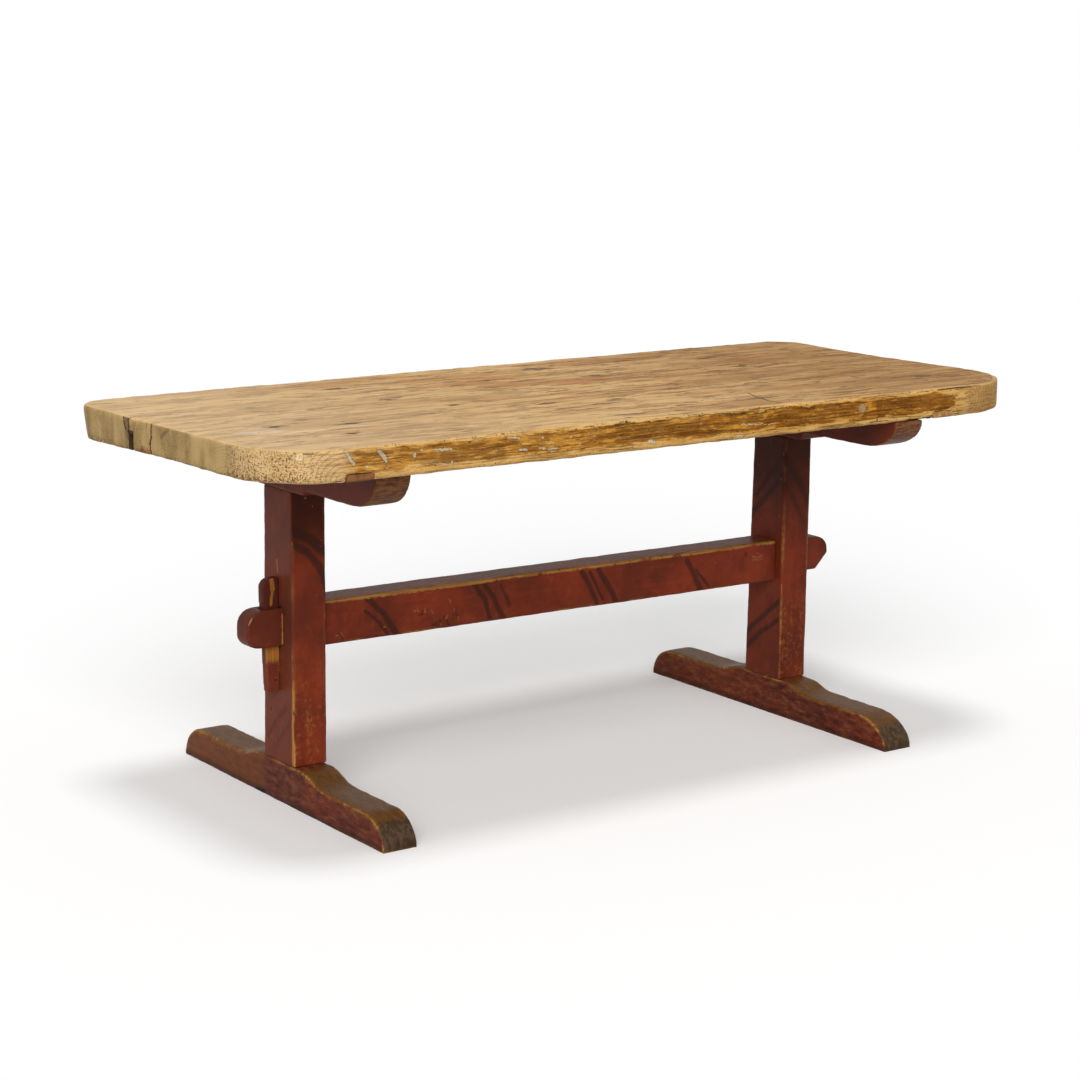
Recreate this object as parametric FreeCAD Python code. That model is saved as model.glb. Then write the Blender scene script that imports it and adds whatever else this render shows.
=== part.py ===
import FreeCAD, Part
import os

# Pine trestle table that knocks down: a loose plank top on two trestles tied by one wedged stretcher.
# Millimetres, +Z up, +X along the table, -Y towards the front edge.
# The origin is on the floor under the middle of the top.

# Whole table
TABLE_HEIGHT = 750.0

# Top: four boards, front to back
BOARD_LENGTH = 1832.0
TOP_THICKNESS = 61.0
FRONT_BOARD_WIDTH = 292.0
FRONT_MIDDLE_BOARD_WIDTH = 141.0
BACK_MIDDLE_BOARD_WIDTH = 84.0
BACK_BOARD_WIDTH = 275.0

# From the ends of the top to the middles of the trestles
LEFT_OVERHANG = 274.0
RIGHT_OVERHANG = 352.0

# How far the old top is out of square: both ends lean, and the back board is narrower at its left end
END_SKEW = 26.0
BACK_EDGE_TAPER = 38.0

# Corners and worn arrises of the top
FRONT_LEFT_CORNER = 150.0
FRONT_RIGHT_CORNER = 200.0
BACK_RIGHT_CORNER = 78.0
BACK_LEFT_CORNER = 74.0
TOP_ARRIS = 5.0

# Right end, sawn from both sides to a shallow inward knee just in front of the back seam
KNEE_DEPTH = 22.0
KNEE_FROM_BACK_SEAM = 20.0
KNEE_ROUND = 40.0

# Rotten notch under the left end of the back middle board
NOTCH_WIDTH = 20.0
NOTCH_HEIGHT = 27.0
NOTCH_DEPTH = 110.0

# Dowels in the seams
DOWEL_DIAMETER = 16.0
DOWEL_LENGTH = 60.0
DOWEL_END_INSET = 170.0
DOWELS_PER_SEAM = 5

# Pegs whose ends show in the front edge
SQUARE_PEG_SIZE = 14.0
SQUARE_PEG_FROM_LEFT = 63.0
SQUARE_PEG_BELOW_TOP = 12.5
ROUND_PEG_DIAMETER = 21.0
ROUND_PEG_FROM_RIGHT = 499.0
ROUND_PEG_BELOW_TOP = 24.0
EDGE_PEG_DEPTH = 75.0

# Sliding-dovetail keys under the top
KEY_WIDTH = 52.0
KEY_FLARE = 4.0
KEY_DEPTH = 14.0
KEY_FROM_BEARER = 28.0

# Stock that the feet, posts and bearers are cut from
TRESTLE_THICKNESS = 74.0

# Feet
FOOT_SEAT_HEIGHT = 80.0
FOOT_ARM_HEIGHT = 64.0
LEFT_FRONT_ARM_HEIGHT = 60.0
FOOT_SEAT_MARGIN = 12.0
FOOT_OGEE_RUN = 98.0
LEFT_FOOT_FRONT_REACH = 378.0
LEFT_FOOT_BACK_REACH = 389.0
LEFT_FRONT_TOE = 68.0
RIGHT_FOOT_FRONT_REACH = 396.0
RIGHT_FOOT_BACK_REACH = 387.0
RIGHT_FRONT_TOE = 94.0
BACK_TOE = 64.0

# Posts
POST_WIDTH = 116.0
POST_BACK_TAPER = 10.0
POST_ARRIS = 3.0
POST_TENON_THICKNESS = 30.0
POST_TENON_WIDTH = 84.0
POST_TENON_RECESS = 2.0

# Small wedges that spread the ends of the posts' tenons
TENON_WEDGE_LENGTH = 46.0
TENON_WEDGE_BASE = 6.0
TENON_WEDGE_TIP = 1.5
TENON_WEDGE_SPACING = 44.0

# Bearers
BEARER_PAD_DEPTH = 77.0
BEARER_PAD_MARGIN = 38.0
BEARER_STEP_RUN = 20.0
LEFT_BEARER_NOSE = 78.0
LEFT_BEARER_ARM_DEPTH = 68.0
LEFT_BEARER_FRONT_REACH = 358.0
RIGHT_BEARER_NOSE = 92.0
RIGHT_BEARER_ARM_DEPTH = 60.0
RIGHT_BEARER_FRONT_REACH = 393.0
BEARER_BACK_REACH = 368.0

# Locating pins between the bearers and the top
PIN_DIAMETER = 18.0
PIN_SPACING = 480.0
PIN_SEAT_DEPTH = 40.0
PIN_RISE = 28.0
PIN_CLEARANCE = 0.5
PIN_HEADROOM = 2.0

# Stretcher, which stands a little higher at its left end, and its through tenons
LEFT_STRETCHER_BOTTOM = 304.0
RIGHT_STRETCHER_BOTTOM = 297.0
STRETCHER_HEIGHT = 88.0
STRETCHER_THICKNESS = 74.0
STRETCHER_ARRIS = 3.0
TENON_HEIGHT = 72.0
TENON_THICKNESS = 46.0
LEFT_TENON_PROUD = 76.0
RIGHT_TENON_PROUD = 86.0

# Rounds and cut at the tenons' ends, as shares of the tenon's height
TENON_UPPER_ROUND_SHARE = 0.44
LEFT_LOWER_ROUND_SHARE = 0.34
RIGHT_LOWER_CUT_SHARE = 0.46

# Tusk wedges
WEDGE_LENGTH = 221.0
WEDGE_HEAD_RISE = 58.0
WEDGE_FOOT_WIDTH = 27.0
WEDGE_HEAD_WIDTH = 38.0
WEDGE_THICKNESS = 18.0
WEDGE_HEAD_ROUND = 20.0
WEDGE_CLEARANCE = 0.3
WEDGE_SLOT_RELIEF = 5.0

# How far a cutting shape runs past what it cuts
OVERRUN = 5.0

# Handle of a curve that draws a quarter round, as a share of its radius
QUARTER_ROUND_SHARE = 0.5523

# Levels and places that follow from the sizes above
TRESTLE_SPAN = BOARD_LENGTH - LEFT_OVERHANG - RIGHT_OVERHANG
BASE_OFFSET = (LEFT_OVERHANG - RIGHT_OVERHANG) / 2
UNDERSIDE = TABLE_HEIGHT - TOP_THICKNESS
TOP_WIDTH = FRONT_BOARD_WIDTH + FRONT_MIDDLE_BOARD_WIDTH + BACK_MIDDLE_BOARD_WIDTH + BACK_BOARD_WIDTH
FRONT_EDGE = -TOP_WIDTH / 2
FRONT_SEAM = FRONT_EDGE + FRONT_BOARD_WIDTH
MIDDLE_SEAM = FRONT_SEAM + FRONT_MIDDLE_BOARD_WIDTH
BACK_SEAM = MIDDLE_SEAM + BACK_MIDDLE_BOARD_WIDTH
BACK_EDGE = BACK_SEAM + BACK_BOARD_WIDTH

# What differs between the two trestles; outward is the direction of X away from the table's middle
TRESTLES = {
    "left": {
        "outward": -1,
        "foot_front": LEFT_FOOT_FRONT_REACH,
        "front_arm": LEFT_FRONT_ARM_HEIGHT,
        "foot_back": LEFT_FOOT_BACK_REACH,
        "front_toe": LEFT_FRONT_TOE,
        "bearer_front": LEFT_BEARER_FRONT_REACH,
        "nose": LEFT_BEARER_NOSE,
        "arm_depth": LEFT_BEARER_ARM_DEPTH,
        "stretcher_bottom": LEFT_STRETCHER_BOTTOM,
        "tenon_proud": LEFT_TENON_PROUD,
        "lower_share": LEFT_LOWER_ROUND_SHARE,
    },
    "right": {
        "outward": 1,
        "foot_front": RIGHT_FOOT_FRONT_REACH,
        "front_arm": FOOT_ARM_HEIGHT,
        "foot_back": RIGHT_FOOT_BACK_REACH,
        "front_toe": RIGHT_FRONT_TOE,
        "bearer_front": RIGHT_BEARER_FRONT_REACH,
        "nose": RIGHT_BEARER_NOSE,
        "arm_depth": RIGHT_BEARER_ARM_DEPTH,
        "stretcher_bottom": RIGHT_STRETCHER_BOTTOM,
        "tenon_proud": RIGHT_TENON_PROUD,
        "lower_share": RIGHT_LOWER_CUT_SHARE,
    },
}


# Small drawing helpers
def point(x, y, z):
    return FreeCAD.Vector(x, y, z)


def box(x_range, y_range, z_range):
    """Block between the given limits, in either order."""
    lows = [min(limits) for limits in (x_range, y_range, z_range)]
    sides = [max(limits) - min(limits) for limits in (x_range, y_range, z_range)]
    return Part.makeBox(*sides, point(*lows))


def line(start, end):
    return Part.LineSegment(start, end).toShape()


def curve(*poles):
    bezier = Part.BezierCurve()
    bezier.setPoles(list(poles))
    return bezier.toShape()


def quarter_round(start, corner, end):
    """Curve that leaves start towards the corner and reaches end from the corner."""
    leaving = start + (corner - start) * QUARTER_ROUND_SHARE
    arriving = end + (corner - end) * QUARTER_ROUND_SHARE
    return curve(start, leaving, arriving, end)


def prism(edges, along):
    """Solid swept straight from the closed outline that the edges draw."""
    return Part.Face(Part.Wire(edges)).extrude(along)


def polygon_prism(points, along):
    return Part.Face(Part.makePolygon(points + points[:1])).extrude(along)


def rod(start, along, diameter):
    return Part.makeCylinder(diameter / 2, along.Length, start, along)


def one_solid(shape):
    """The single solid that a cut or a join leaves, with its faces merged."""
    solids = shape.removeSplitter().Solids
    if len(solids) != 1:
        raise ValueError("a piece came out as %d solids" % len(solids))
    return solids[0]


def ease_long_edges(block, size):
    """Take the arris off the four longest edges of a block."""
    longest = sorted(block.Edges, key=lambda edge: edge.Length)[-4:]
    return block.makeChamfer(size, longest)


# Places along the table and levels that differ between its sides
def trestle_middle(side):
    return BASE_OFFSET + TRESTLES[side]["outward"] * TRESTLE_SPAN / 2


def trestle_face(side):
    """Outer face of a post, foot or bearer."""
    return trestle_middle(side) + TRESTLES[side]["outward"] * TRESTLE_THICKNESS / 2


def inner_face(side):
    return trestle_middle(side) - TRESTLES[side]["outward"] * TRESTLE_THICKNESS / 2


def tenon_bottom(side):
    return TRESTLES[side]["stretcher_bottom"] + (STRETCHER_HEIGHT - TENON_HEIGHT) / 2


def tenon_top(side):
    return tenon_bottom(side) + TENON_HEIGHT


def wedge_top(side):
    return tenon_top(side) + WEDGE_HEAD_RISE


def wedge_bottom(side):
    return wedge_top(side) - WEDGE_LENGTH


def end_lean(y):
    return -END_SKEW * y / TOP_WIDTH


def left_end(y):
    return -BOARD_LENGTH / 2 + end_lean(y)


def right_end(y):
    return BOARD_LENGTH / 2 + end_lean(y)


# Top
def towards(start, end, distance):
    return start + (end - start).normalize() * distance


def top_outline():
    """Closed edges of the top seen from above, at the level of its underside."""
    narrow_back = BACK_EDGE - BACK_EDGE_TAPER
    knee = BACK_SEAM - KNEE_FROM_BACK_SEAM
    corners = [
        (point(left_end(FRONT_EDGE), FRONT_EDGE, UNDERSIDE), FRONT_LEFT_CORNER),
        (point(right_end(FRONT_EDGE), FRONT_EDGE, UNDERSIDE), FRONT_RIGHT_CORNER),
        (point(right_end(knee) - KNEE_DEPTH, knee, UNDERSIDE), KNEE_ROUND),
        (point(right_end(BACK_EDGE), BACK_EDGE, UNDERSIDE), BACK_RIGHT_CORNER),
        (point(left_end(narrow_back), narrow_back, UNDERSIDE), BACK_LEFT_CORNER),
    ]
    rounds = []
    for number, (corner, radius) in enumerate(corners):
        before = corners[number - 1][0]
        after = corners[(number + 1) % len(corners)][0]
        rounds.append(quarter_round(towards(corner, before, radius), corner, towards(corner, after, radius)))
    edges = []
    for number, rounding in enumerate(rounds):
        following = rounds[(number + 1) % len(rounds)]
        edges.append(rounding)
        edges.append(line(rounding.lastVertex().Point, following.firstVertex().Point))
    return edges


def top_slab():
    """The whole top with its worn arrises, before it is divided into boards."""
    slab = prism(top_outline(), point(0, 0, TOP_THICKNESS))
    rims = [edge for edge in slab.Edges if edge.BoundBox.ZLength < TOP_ARRIS]
    return slab.makeFillet(TOP_ARRIS, rims)


def key_bar(side):
    """Dovetailed bar across the whole top, wider above than at the underside."""
    outward = TRESTLES[side]["outward"]
    near = trestle_face(side) + outward * KEY_FROM_BEARER
    far = near + outward * KEY_WIDTH
    front = FRONT_EDGE - OVERRUN
    section = [
        point(near, front, UNDERSIDE),
        point(far, front, UNDERSIDE),
        point(far + outward * KEY_FLARE, front, UNDERSIDE + KEY_DEPTH),
        point(near - outward * KEY_FLARE, front, UNDERSIDE + KEY_DEPTH),
    ]
    return polygon_prism(section, point(0, TOP_WIDTH + 2 * OVERRUN, 0))


def seam_dowels(seam):
    """Row of dowels across one seam, at mid thickness."""
    first = -BOARD_LENGTH / 2 + DOWEL_END_INSET
    step = (BOARD_LENGTH - 2 * DOWEL_END_INSET) / (DOWELS_PER_SEAM - 1)
    level = UNDERSIDE + TOP_THICKNESS / 2
    along = point(0, DOWEL_LENGTH, 0)
    dowels = []
    for number in range(DOWELS_PER_SEAM):
        start = point(first + step * number, seam - DOWEL_LENGTH / 2, level)
        dowels.append(rod(start, along, DOWEL_DIAMETER))
    return dowels


def edge_peg_bars():
    """Square and round pegs driven in from the front, still proud of the edge."""
    square_x = left_end(FRONT_EDGE) + SQUARE_PEG_FROM_LEFT
    square_z = TABLE_HEIGHT - SQUARE_PEG_BELOW_TOP
    half = SQUARE_PEG_SIZE / 2
    deep = FRONT_EDGE + EDGE_PEG_DEPTH
    square = box(
        (square_x - half, square_x + half),
        (FRONT_EDGE - OVERRUN, deep),
        (square_z - half, square_z + half),
    )
    round_x = right_end(FRONT_EDGE) - ROUND_PEG_FROM_RIGHT
    start = point(round_x, deep, TABLE_HEIGHT - ROUND_PEG_BELOW_TOP)
    outwards = point(0, -EDGE_PEG_DEPTH - OVERRUN, 0)
    return [square, rod(start, outwards, ROUND_PEG_DIAMETER)]


def end_notch():
    """Wedge of missing wood under the left end, beside the back seam."""
    end = left_end(BACK_SEAM) - OVERRUN
    plan = [
        point(end, BACK_SEAM, UNDERSIDE - OVERRUN),
        point(end, BACK_SEAM - NOTCH_WIDTH, UNDERSIDE - OVERRUN),
        point(end + OVERRUN + NOTCH_DEPTH, BACK_SEAM, UNDERSIDE - OVERRUN),
    ]
    return polygon_prism(plan, point(0, 0, NOTCH_HEIGHT + OVERRUN))


def pin_places(side):
    return [(trestle_middle(side), way * PIN_SPACING / 2) for way in (-1, 1)]


def pin_holes(side):
    """Holes in the underside that drop over the locating pins."""
    start = UNDERSIDE - OVERRUN
    up = point(0, 0, OVERRUN + PIN_RISE + PIN_HEADROOM)
    wide = PIN_DIAMETER + 2 * PIN_CLEARANCE
    return [rod(point(x, y, start), up, wide) for x, y in pin_places(side)]


def top_pieces():
    slab = top_slab()
    bars = {side: key_bar(side) for side in TRESTLES}
    dowels = {
        "front_seam_dowels": seam_dowels(FRONT_SEAM),
        "middle_seam_dowels": seam_dowels(MIDDLE_SEAM),
        "back_seam_dowels": seam_dowels(BACK_SEAM),
    }
    pegs = edge_peg_bars()
    cuts = list(bars.values()) + pegs
    for row in dowels.values():
        cuts += row
    for side in TRESTLES:
        cuts += pin_holes(side)
    boards = {
        "top_board_front": (FRONT_EDGE, FRONT_SEAM, []),
        "top_board_front_middle": (FRONT_SEAM, MIDDLE_SEAM, []),
        "top_board_back_middle": (MIDDLE_SEAM, BACK_SEAM, [end_notch()]),
        "top_board_back": (BACK_SEAM, BACK_EDGE, []),
    }
    across = (-BOARD_LENGTH, BOARD_LENGTH)
    pieces = {}
    for name, (front, back, own_cuts) in boards.items():
        strip = box(across, (front, back), (UNDERSIDE - OVERRUN, TABLE_HEIGHT + OVERRUN))
        pieces[name] = one_solid(slab.common(strip).cut(cuts + own_cuts))
    for side, bar in bars.items():
        pieces[side + "_top_key"] = one_solid(bar.common(slab))
    pieces.update({name: Part.makeCompound(row) for name, row in dowels.items()})
    pieces["edge_pegs"] = Part.makeCompound([one_solid(peg.common(slab)) for peg in pegs])
    return pieces


# Feet and bearers, each joined from a front and a back half drawn from the side; way is -1 for the front
def half_foot(x, reach, arm_height, toe, way):
    """Half of a foot, from the middle of its seat out to one toe."""
    seat = way * (POST_WIDTH / 2 + FOOT_SEAT_MARGIN)
    arm = seat + way * FOOT_OGEE_RUN
    halfway = (seat + arm) / 2
    tip = way * reach
    crown = tip - way * toe
    edges = [
        line(point(x, 0, FOOT_SEAT_HEIGHT), point(x, seat, FOOT_SEAT_HEIGHT)),
        curve(
            point(x, seat, FOOT_SEAT_HEIGHT),
            point(x, halfway, FOOT_SEAT_HEIGHT),
            point(x, halfway, arm_height),
            point(x, arm, arm_height),
        ),
        line(point(x, arm, arm_height), point(x, crown, arm_height)),
        quarter_round(point(x, crown, arm_height), point(x, tip, arm_height), point(x, tip, 0)),
        line(point(x, tip, 0), point(x, 0, 0)),
        line(point(x, 0, 0), point(x, 0, FOOT_SEAT_HEIGHT)),
    ]
    return prism(edges, point(TRESTLE_THICKNESS, 0, 0))


def foot(side):
    sizes = TRESTLES[side]
    low = trestle_middle(side) - TRESTLE_THICKNESS / 2
    front = half_foot(low, sizes["foot_front"], sizes["front_arm"], sizes["front_toe"], -1)
    back = half_foot(low, sizes["foot_back"], FOOT_ARM_HEIGHT, BACK_TOE, 1)
    return one_solid(front.fuse(back).cut(foot_mortise(side)))


def half_bearer(x, reach, nose, arm_depth, way):
    """Half of a bearer, from the middle of its pad out to one nose."""
    pad_level = UNDERSIDE - BEARER_PAD_DEPTH
    arm_level = UNDERSIDE - arm_depth
    pad = way * (POST_WIDTH / 2 + BEARER_PAD_MARGIN)
    arm = pad + way * BEARER_STEP_RUN
    halfway = (pad + arm) / 2
    tip = way * reach
    crown = tip - way * nose
    edges = [
        line(point(x, 0, pad_level), point(x, pad, pad_level)),
        curve(
            point(x, pad, pad_level),
            point(x, halfway, pad_level),
            point(x, halfway, arm_level),
            point(x, arm, arm_level),
        ),
        line(point(x, arm, arm_level), point(x, crown, arm_level)),
        quarter_round(point(x, crown, arm_level), point(x, tip, arm_level), point(x, tip, UNDERSIDE)),
        line(point(x, tip, UNDERSIDE), point(x, 0, UNDERSIDE)),
        line(point(x, 0, UNDERSIDE), point(x, 0, pad_level)),
    ]
    return prism(edges, point(TRESTLE_THICKNESS, 0, 0))


def bearer(side):
    sizes = TRESTLES[side]
    low = trestle_middle(side) - TRESTLE_THICKNESS / 2
    front = half_bearer(low, sizes["bearer_front"], sizes["nose"], sizes["arm_depth"], -1)
    back = half_bearer(low, BEARER_BACK_REACH, sizes["nose"], sizes["arm_depth"], 1)
    return one_solid(front.fuse(back).cut([bearer_mortise(side)] + top_pins(side)))


def top_pins(side):
    """Pins standing in the bearer's top face."""
    start = UNDERSIDE - PIN_SEAT_DEPTH
    up = point(0, 0, PIN_SEAT_DEPTH + PIN_RISE)
    return [rod(point(x, y, start), up, PIN_DIAMETER) for x, y in pin_places(side)]


# Posts with a tenon at each end
def post_tenon(side, low, high):
    """Block of a post tenon's section between two levels, for the tenons and for their mortises."""
    middle = trestle_middle(side)
    across = (middle - POST_TENON_THICKNESS / 2, middle + POST_TENON_THICKNESS / 2)
    return box(across, (-POST_TENON_WIDTH / 2, POST_TENON_WIDTH / 2), (low, high))


def foot_mortise(side):
    return post_tenon(side, -OVERRUN, FOOT_SEAT_HEIGHT + OVERRUN)


def bearer_mortise(side):
    return post_tenon(side, UNDERSIDE - BEARER_PAD_DEPTH - OVERRUN, UNDERSIDE + OVERRUN)


def tenon_wedges(side, end_level, inward):
    """Two thin wedges in a tenon's end; inward is 1 where they point up and -1 where they point down."""
    near = trestle_middle(side) - POST_TENON_THICKNESS / 2
    tip_level = end_level + inward * TENON_WEDGE_LENGTH
    wedges = []
    for way in (-1, 1):
        middle = way * TENON_WEDGE_SPACING / 2
        section = [
            point(near, middle - TENON_WEDGE_BASE / 2, end_level),
            point(near, middle + TENON_WEDGE_BASE / 2, end_level),
            point(near, middle + TENON_WEDGE_TIP / 2, tip_level),
            point(near, middle - TENON_WEDGE_TIP / 2, tip_level),
        ]
        wedges.append(polygon_prism(section, point(POST_TENON_THICKNESS, 0, 0)))
    return wedges


def foot_tenon_wedges(side):
    return tenon_wedges(side, POST_TENON_RECESS, 1)


def bearer_tenon_wedges(side):
    return tenon_wedges(side, UNDERSIDE - POST_TENON_RECESS, -1)


def post(side):
    middle = trestle_middle(side)
    half = TRESTLE_THICKNESS / 2
    pad_level = UNDERSIDE - BEARER_PAD_DEPTH
    side_view = [
        point(middle - half, -POST_WIDTH / 2, FOOT_SEAT_HEIGHT),
        point(middle - half, POST_WIDTH / 2, FOOT_SEAT_HEIGHT),
        point(middle - half, POST_WIDTH / 2 - POST_BACK_TAPER, pad_level),
        point(middle - half, -POST_WIDTH / 2, pad_level),
    ]
    shaft = ease_long_edges(polygon_prism(side_view, point(TRESTLE_THICKNESS, 0, 0)), POST_ARRIS)
    tenons = post_tenon(side, POST_TENON_RECESS, UNDERSIDE - POST_TENON_RECESS)
    kerfs = foot_tenon_wedges(side) + bearer_tenon_wedges(side)
    mortise = box(
        (middle - half - OVERRUN, middle + half + OVERRUN),
        (-TENON_THICKNESS / 2, TENON_THICKNESS / 2),
        (tenon_bottom(side), tenon_top(side)),
    )
    return one_solid(shaft.fuse(tenons).cut(kerfs + [mortise]))


# Stretcher with its two through tenons
def tenon_end_edges(side):
    """Closed outline, seen from the front, of a tenon from the stretcher's shoulder to its rounded end."""
    outward = TRESTLES[side]["outward"]
    front = -TENON_THICKNESS / 2
    shoulder = inner_face(side)
    tip = trestle_face(side) + outward * TRESTLES[side]["tenon_proud"]
    low = tenon_bottom(side)
    high = tenon_top(side)
    upper_round = TENON_HEIGHT * TENON_UPPER_ROUND_SHARE
    upper_start = point(tip - outward * upper_round, front, high)
    upper_end = point(tip, front, high - upper_round)
    upper = quarter_round(upper_start, point(tip, front, high), upper_end)
    lower_size = TENON_HEIGHT * TRESTLES[side]["lower_share"]
    lower_start = point(tip, front, low + lower_size)
    lower_end = point(tip - outward * lower_size, front, low)
    if side == "left":
        lower = quarter_round(lower_start, point(tip, front, low), lower_end)
    else:
        lower = line(lower_start, lower_end)
    return [
        line(point(shoulder, front, high), upper_start),
        upper,
        line(upper_end, lower_start),
        lower,
        line(lower_end, point(shoulder, front, low)),
        line(point(shoulder, front, low), point(shoulder, front, high)),
    ]


def wedge_outer(side, level, clearance):
    """Where the sloping outer face of a tusk wedge stands at a level."""
    outward = TRESTLES[side]["outward"]
    rise_share = (level - wedge_bottom(side)) / WEDGE_LENGTH
    width = WEDGE_FOOT_WIDTH + (WEDGE_HEAD_WIDTH - WEDGE_FOOT_WIDTH) * rise_share
    return trestle_face(side) + outward * (WEDGE_CLEARANCE + width + clearance)


def wedge_slot(side):
    """Slot through a tenon that takes the tusk wedge and reaches a little way into the post."""
    inside = trestle_face(side) - TRESTLES[side]["outward"] * WEDGE_SLOT_RELIEF
    half = WEDGE_THICKNESS / 2 + WEDGE_CLEARANCE
    low = tenon_bottom(side) - OVERRUN
    high = tenon_top(side) + OVERRUN
    section = [
        point(inside, -half, low),
        point(wedge_outer(side, low, WEDGE_CLEARANCE), -half, low),
        point(wedge_outer(side, high, WEDGE_CLEARANCE), -half, high),
        point(inside, -half, high),
    ]
    return polygon_prism(section, point(0, 2 * half, 0))


def stretcher():
    front = -STRETCHER_THICKNESS / 2
    front_view = [
        point(inner_face("left"), front, LEFT_STRETCHER_BOTTOM),
        point(inner_face("right"), front, RIGHT_STRETCHER_BOTTOM),
        point(inner_face("right"), front, RIGHT_STRETCHER_BOTTOM + STRETCHER_HEIGHT),
        point(inner_face("left"), front, LEFT_STRETCHER_BOTTOM + STRETCHER_HEIGHT),
    ]
    rail = ease_long_edges(polygon_prism(front_view, point(0, STRETCHER_THICKNESS, 0)), STRETCHER_ARRIS)
    across = point(0, TENON_THICKNESS, 0)
    tenons = [prism(tenon_end_edges(side), across) for side in TRESTLES]
    return one_solid(rail.fuse(tenons).cut([wedge_slot(side) for side in TRESTLES]))


def tusk_wedge(side):
    """Tapered wedge with its straight face by the post and its outer top corner rounded."""
    outward = TRESTLES[side]["outward"]
    front = -WEDGE_THICKNESS / 2
    inner = trestle_face(side) + outward * WEDGE_CLEARANCE
    low = wedge_bottom(side)
    high = wedge_top(side)
    below_round = high - WEDGE_HEAD_ROUND
    inner_foot = point(inner, front, low)
    outer_foot = point(wedge_outer(side, low, 0), front, low)
    shoulder = point(wedge_outer(side, below_round, 0), front, below_round)
    corner = point(wedge_outer(side, high, 0), front, high)
    head = point(corner.x - outward * WEDGE_HEAD_ROUND, front, high)
    inner_head = point(inner, front, high)
    edges = [
        line(inner_foot, outer_foot),
        line(outer_foot, shoulder),
        quarter_round(shoulder, corner, head),
        line(head, inner_head),
        line(inner_head, inner_foot),
    ]
    return prism(edges, point(0, WEDGE_THICKNESS, 0))


def base_pieces():
    pieces = {"stretcher": stretcher()}
    for side in TRESTLES:
        pieces[side + "_foot"] = foot(side)
        pieces[side + "_post"] = post(side)
        pieces[side + "_bearer"] = bearer(side)
        pieces[side + "_tusk_wedge"] = tusk_wedge(side)
        pieces[side + "_foot_tenon_wedges"] = Part.makeCompound(foot_tenon_wedges(side))
        pieces[side + "_bearer_tenon_wedges"] = Part.makeCompound(bearer_tenon_wedges(side))
        pieces[side + "_top_pins"] = Part.makeCompound(top_pins(side))
    return pieces


def main():
    os.makedirs("parts", exist_ok=True)
    pieces = top_pieces()
    pieces.update(base_pieces())
    for name, shape in pieces.items():
        shape.exportStep("parts/%s.step" % name)
        print(name, len(shape.Solids), "solids", round(shape.Volume), "mm3", shape.isValid())


main()
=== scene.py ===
"""Old pine trestle table: a scrubbed plank top on a red painted, wedged base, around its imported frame."""
import math

import bmesh
import bpy
from bpy.props import FloatProperty, FloatVectorProperty, PointerProperty
from mathutils import Matrix, Vector
from mathutils.kdtree import KDTree


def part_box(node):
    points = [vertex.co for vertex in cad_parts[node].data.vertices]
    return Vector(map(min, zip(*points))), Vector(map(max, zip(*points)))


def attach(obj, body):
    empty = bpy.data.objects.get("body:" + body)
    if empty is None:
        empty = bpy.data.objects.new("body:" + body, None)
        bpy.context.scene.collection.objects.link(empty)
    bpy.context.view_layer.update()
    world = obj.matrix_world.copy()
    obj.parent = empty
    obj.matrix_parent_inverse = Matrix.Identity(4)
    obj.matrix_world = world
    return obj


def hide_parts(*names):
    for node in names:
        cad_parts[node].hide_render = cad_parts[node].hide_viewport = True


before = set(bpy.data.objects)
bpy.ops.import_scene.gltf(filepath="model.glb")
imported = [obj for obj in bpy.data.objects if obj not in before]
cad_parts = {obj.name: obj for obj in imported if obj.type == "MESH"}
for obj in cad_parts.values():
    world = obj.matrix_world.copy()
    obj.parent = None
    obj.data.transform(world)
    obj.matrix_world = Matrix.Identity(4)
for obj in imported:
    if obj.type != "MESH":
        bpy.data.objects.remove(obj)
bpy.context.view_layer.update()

bl_info = {
    "name": "Trestle table",
    "version": (1, 0, 0),
    "blender": (4, 5, 0),
    "location": "View3D > Sidebar > Trestle Table",
    "description": "Builds an old pine trestle table with a scrubbed plank top and a red painted base",
    "category": "Object",
}

# Levels and lines of the top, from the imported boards
BOARDS = ("top_board_front", "top_board_front_middle", "top_board_back_middle", "top_board_back")
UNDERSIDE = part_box(BOARDS[0])[0].z
TABLE_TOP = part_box(BOARDS[0])[1].z
FRONT_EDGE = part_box(BOARDS[0])[0].y
FRONT_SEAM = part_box(BOARDS[0])[1].y
MIDDLE_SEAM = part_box(BOARDS[1])[1].y
BACK_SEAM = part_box(BOARDS[2])[1].y
BACK_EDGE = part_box(BOARDS[3])[1].y

# Outline of the top, which is out of square
HALF_LENGTH = 0.916
HALF_LEAN = 0.013
BACK_TAPER = 0.038
TAPER_LEAN = 0.00125
CORNER_ROUNDS = {"front_left": 0.150, "front_right": 0.200, "back_right": 0.078, "back_left": 0.074}
KNEE = 0.101
KNEE_DEPTH = 0.022
KNEE_ROUND = 0.040

# Wood missing under the left end, which narrows and falls inwards by a share of its size
NOTCH_WIDTH = 0.020
NOTCH_HEIGHT = 0.031
NOTCH_DEPTH = 0.110
NOTCH_NARROWS = 0.9
NOTCH_FALLS = 0.4
NOTCH_PAST_END = 0.005
NOTCH_PAST_SEAM = 0.001

# Keys and pins below the top
KEY_FLARE = 0.004
KEY_SLOT_DROP = 0.002
KEY_ARRIS_SHARE = 0.8
PIN_HOLE = 0.019
PIN_HOLE_DEPTH = 0.030
PIN_SLACK = 0.0005

# What differs between the two trestles; outward is the direction of X away from the table's middle
TRESTLES = {
    "left": {"outward": -1, "front_arm": 0.060, "front_toe": 0.068, "arm_depth": 0.068, "nose": 0.078,
             "lower_share": 0.34},
    "right": {"outward": 1, "front_arm": 0.064, "front_toe": 0.094, "arm_depth": 0.060, "nose": 0.092,
              "lower_share": 0.46},
}

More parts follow.
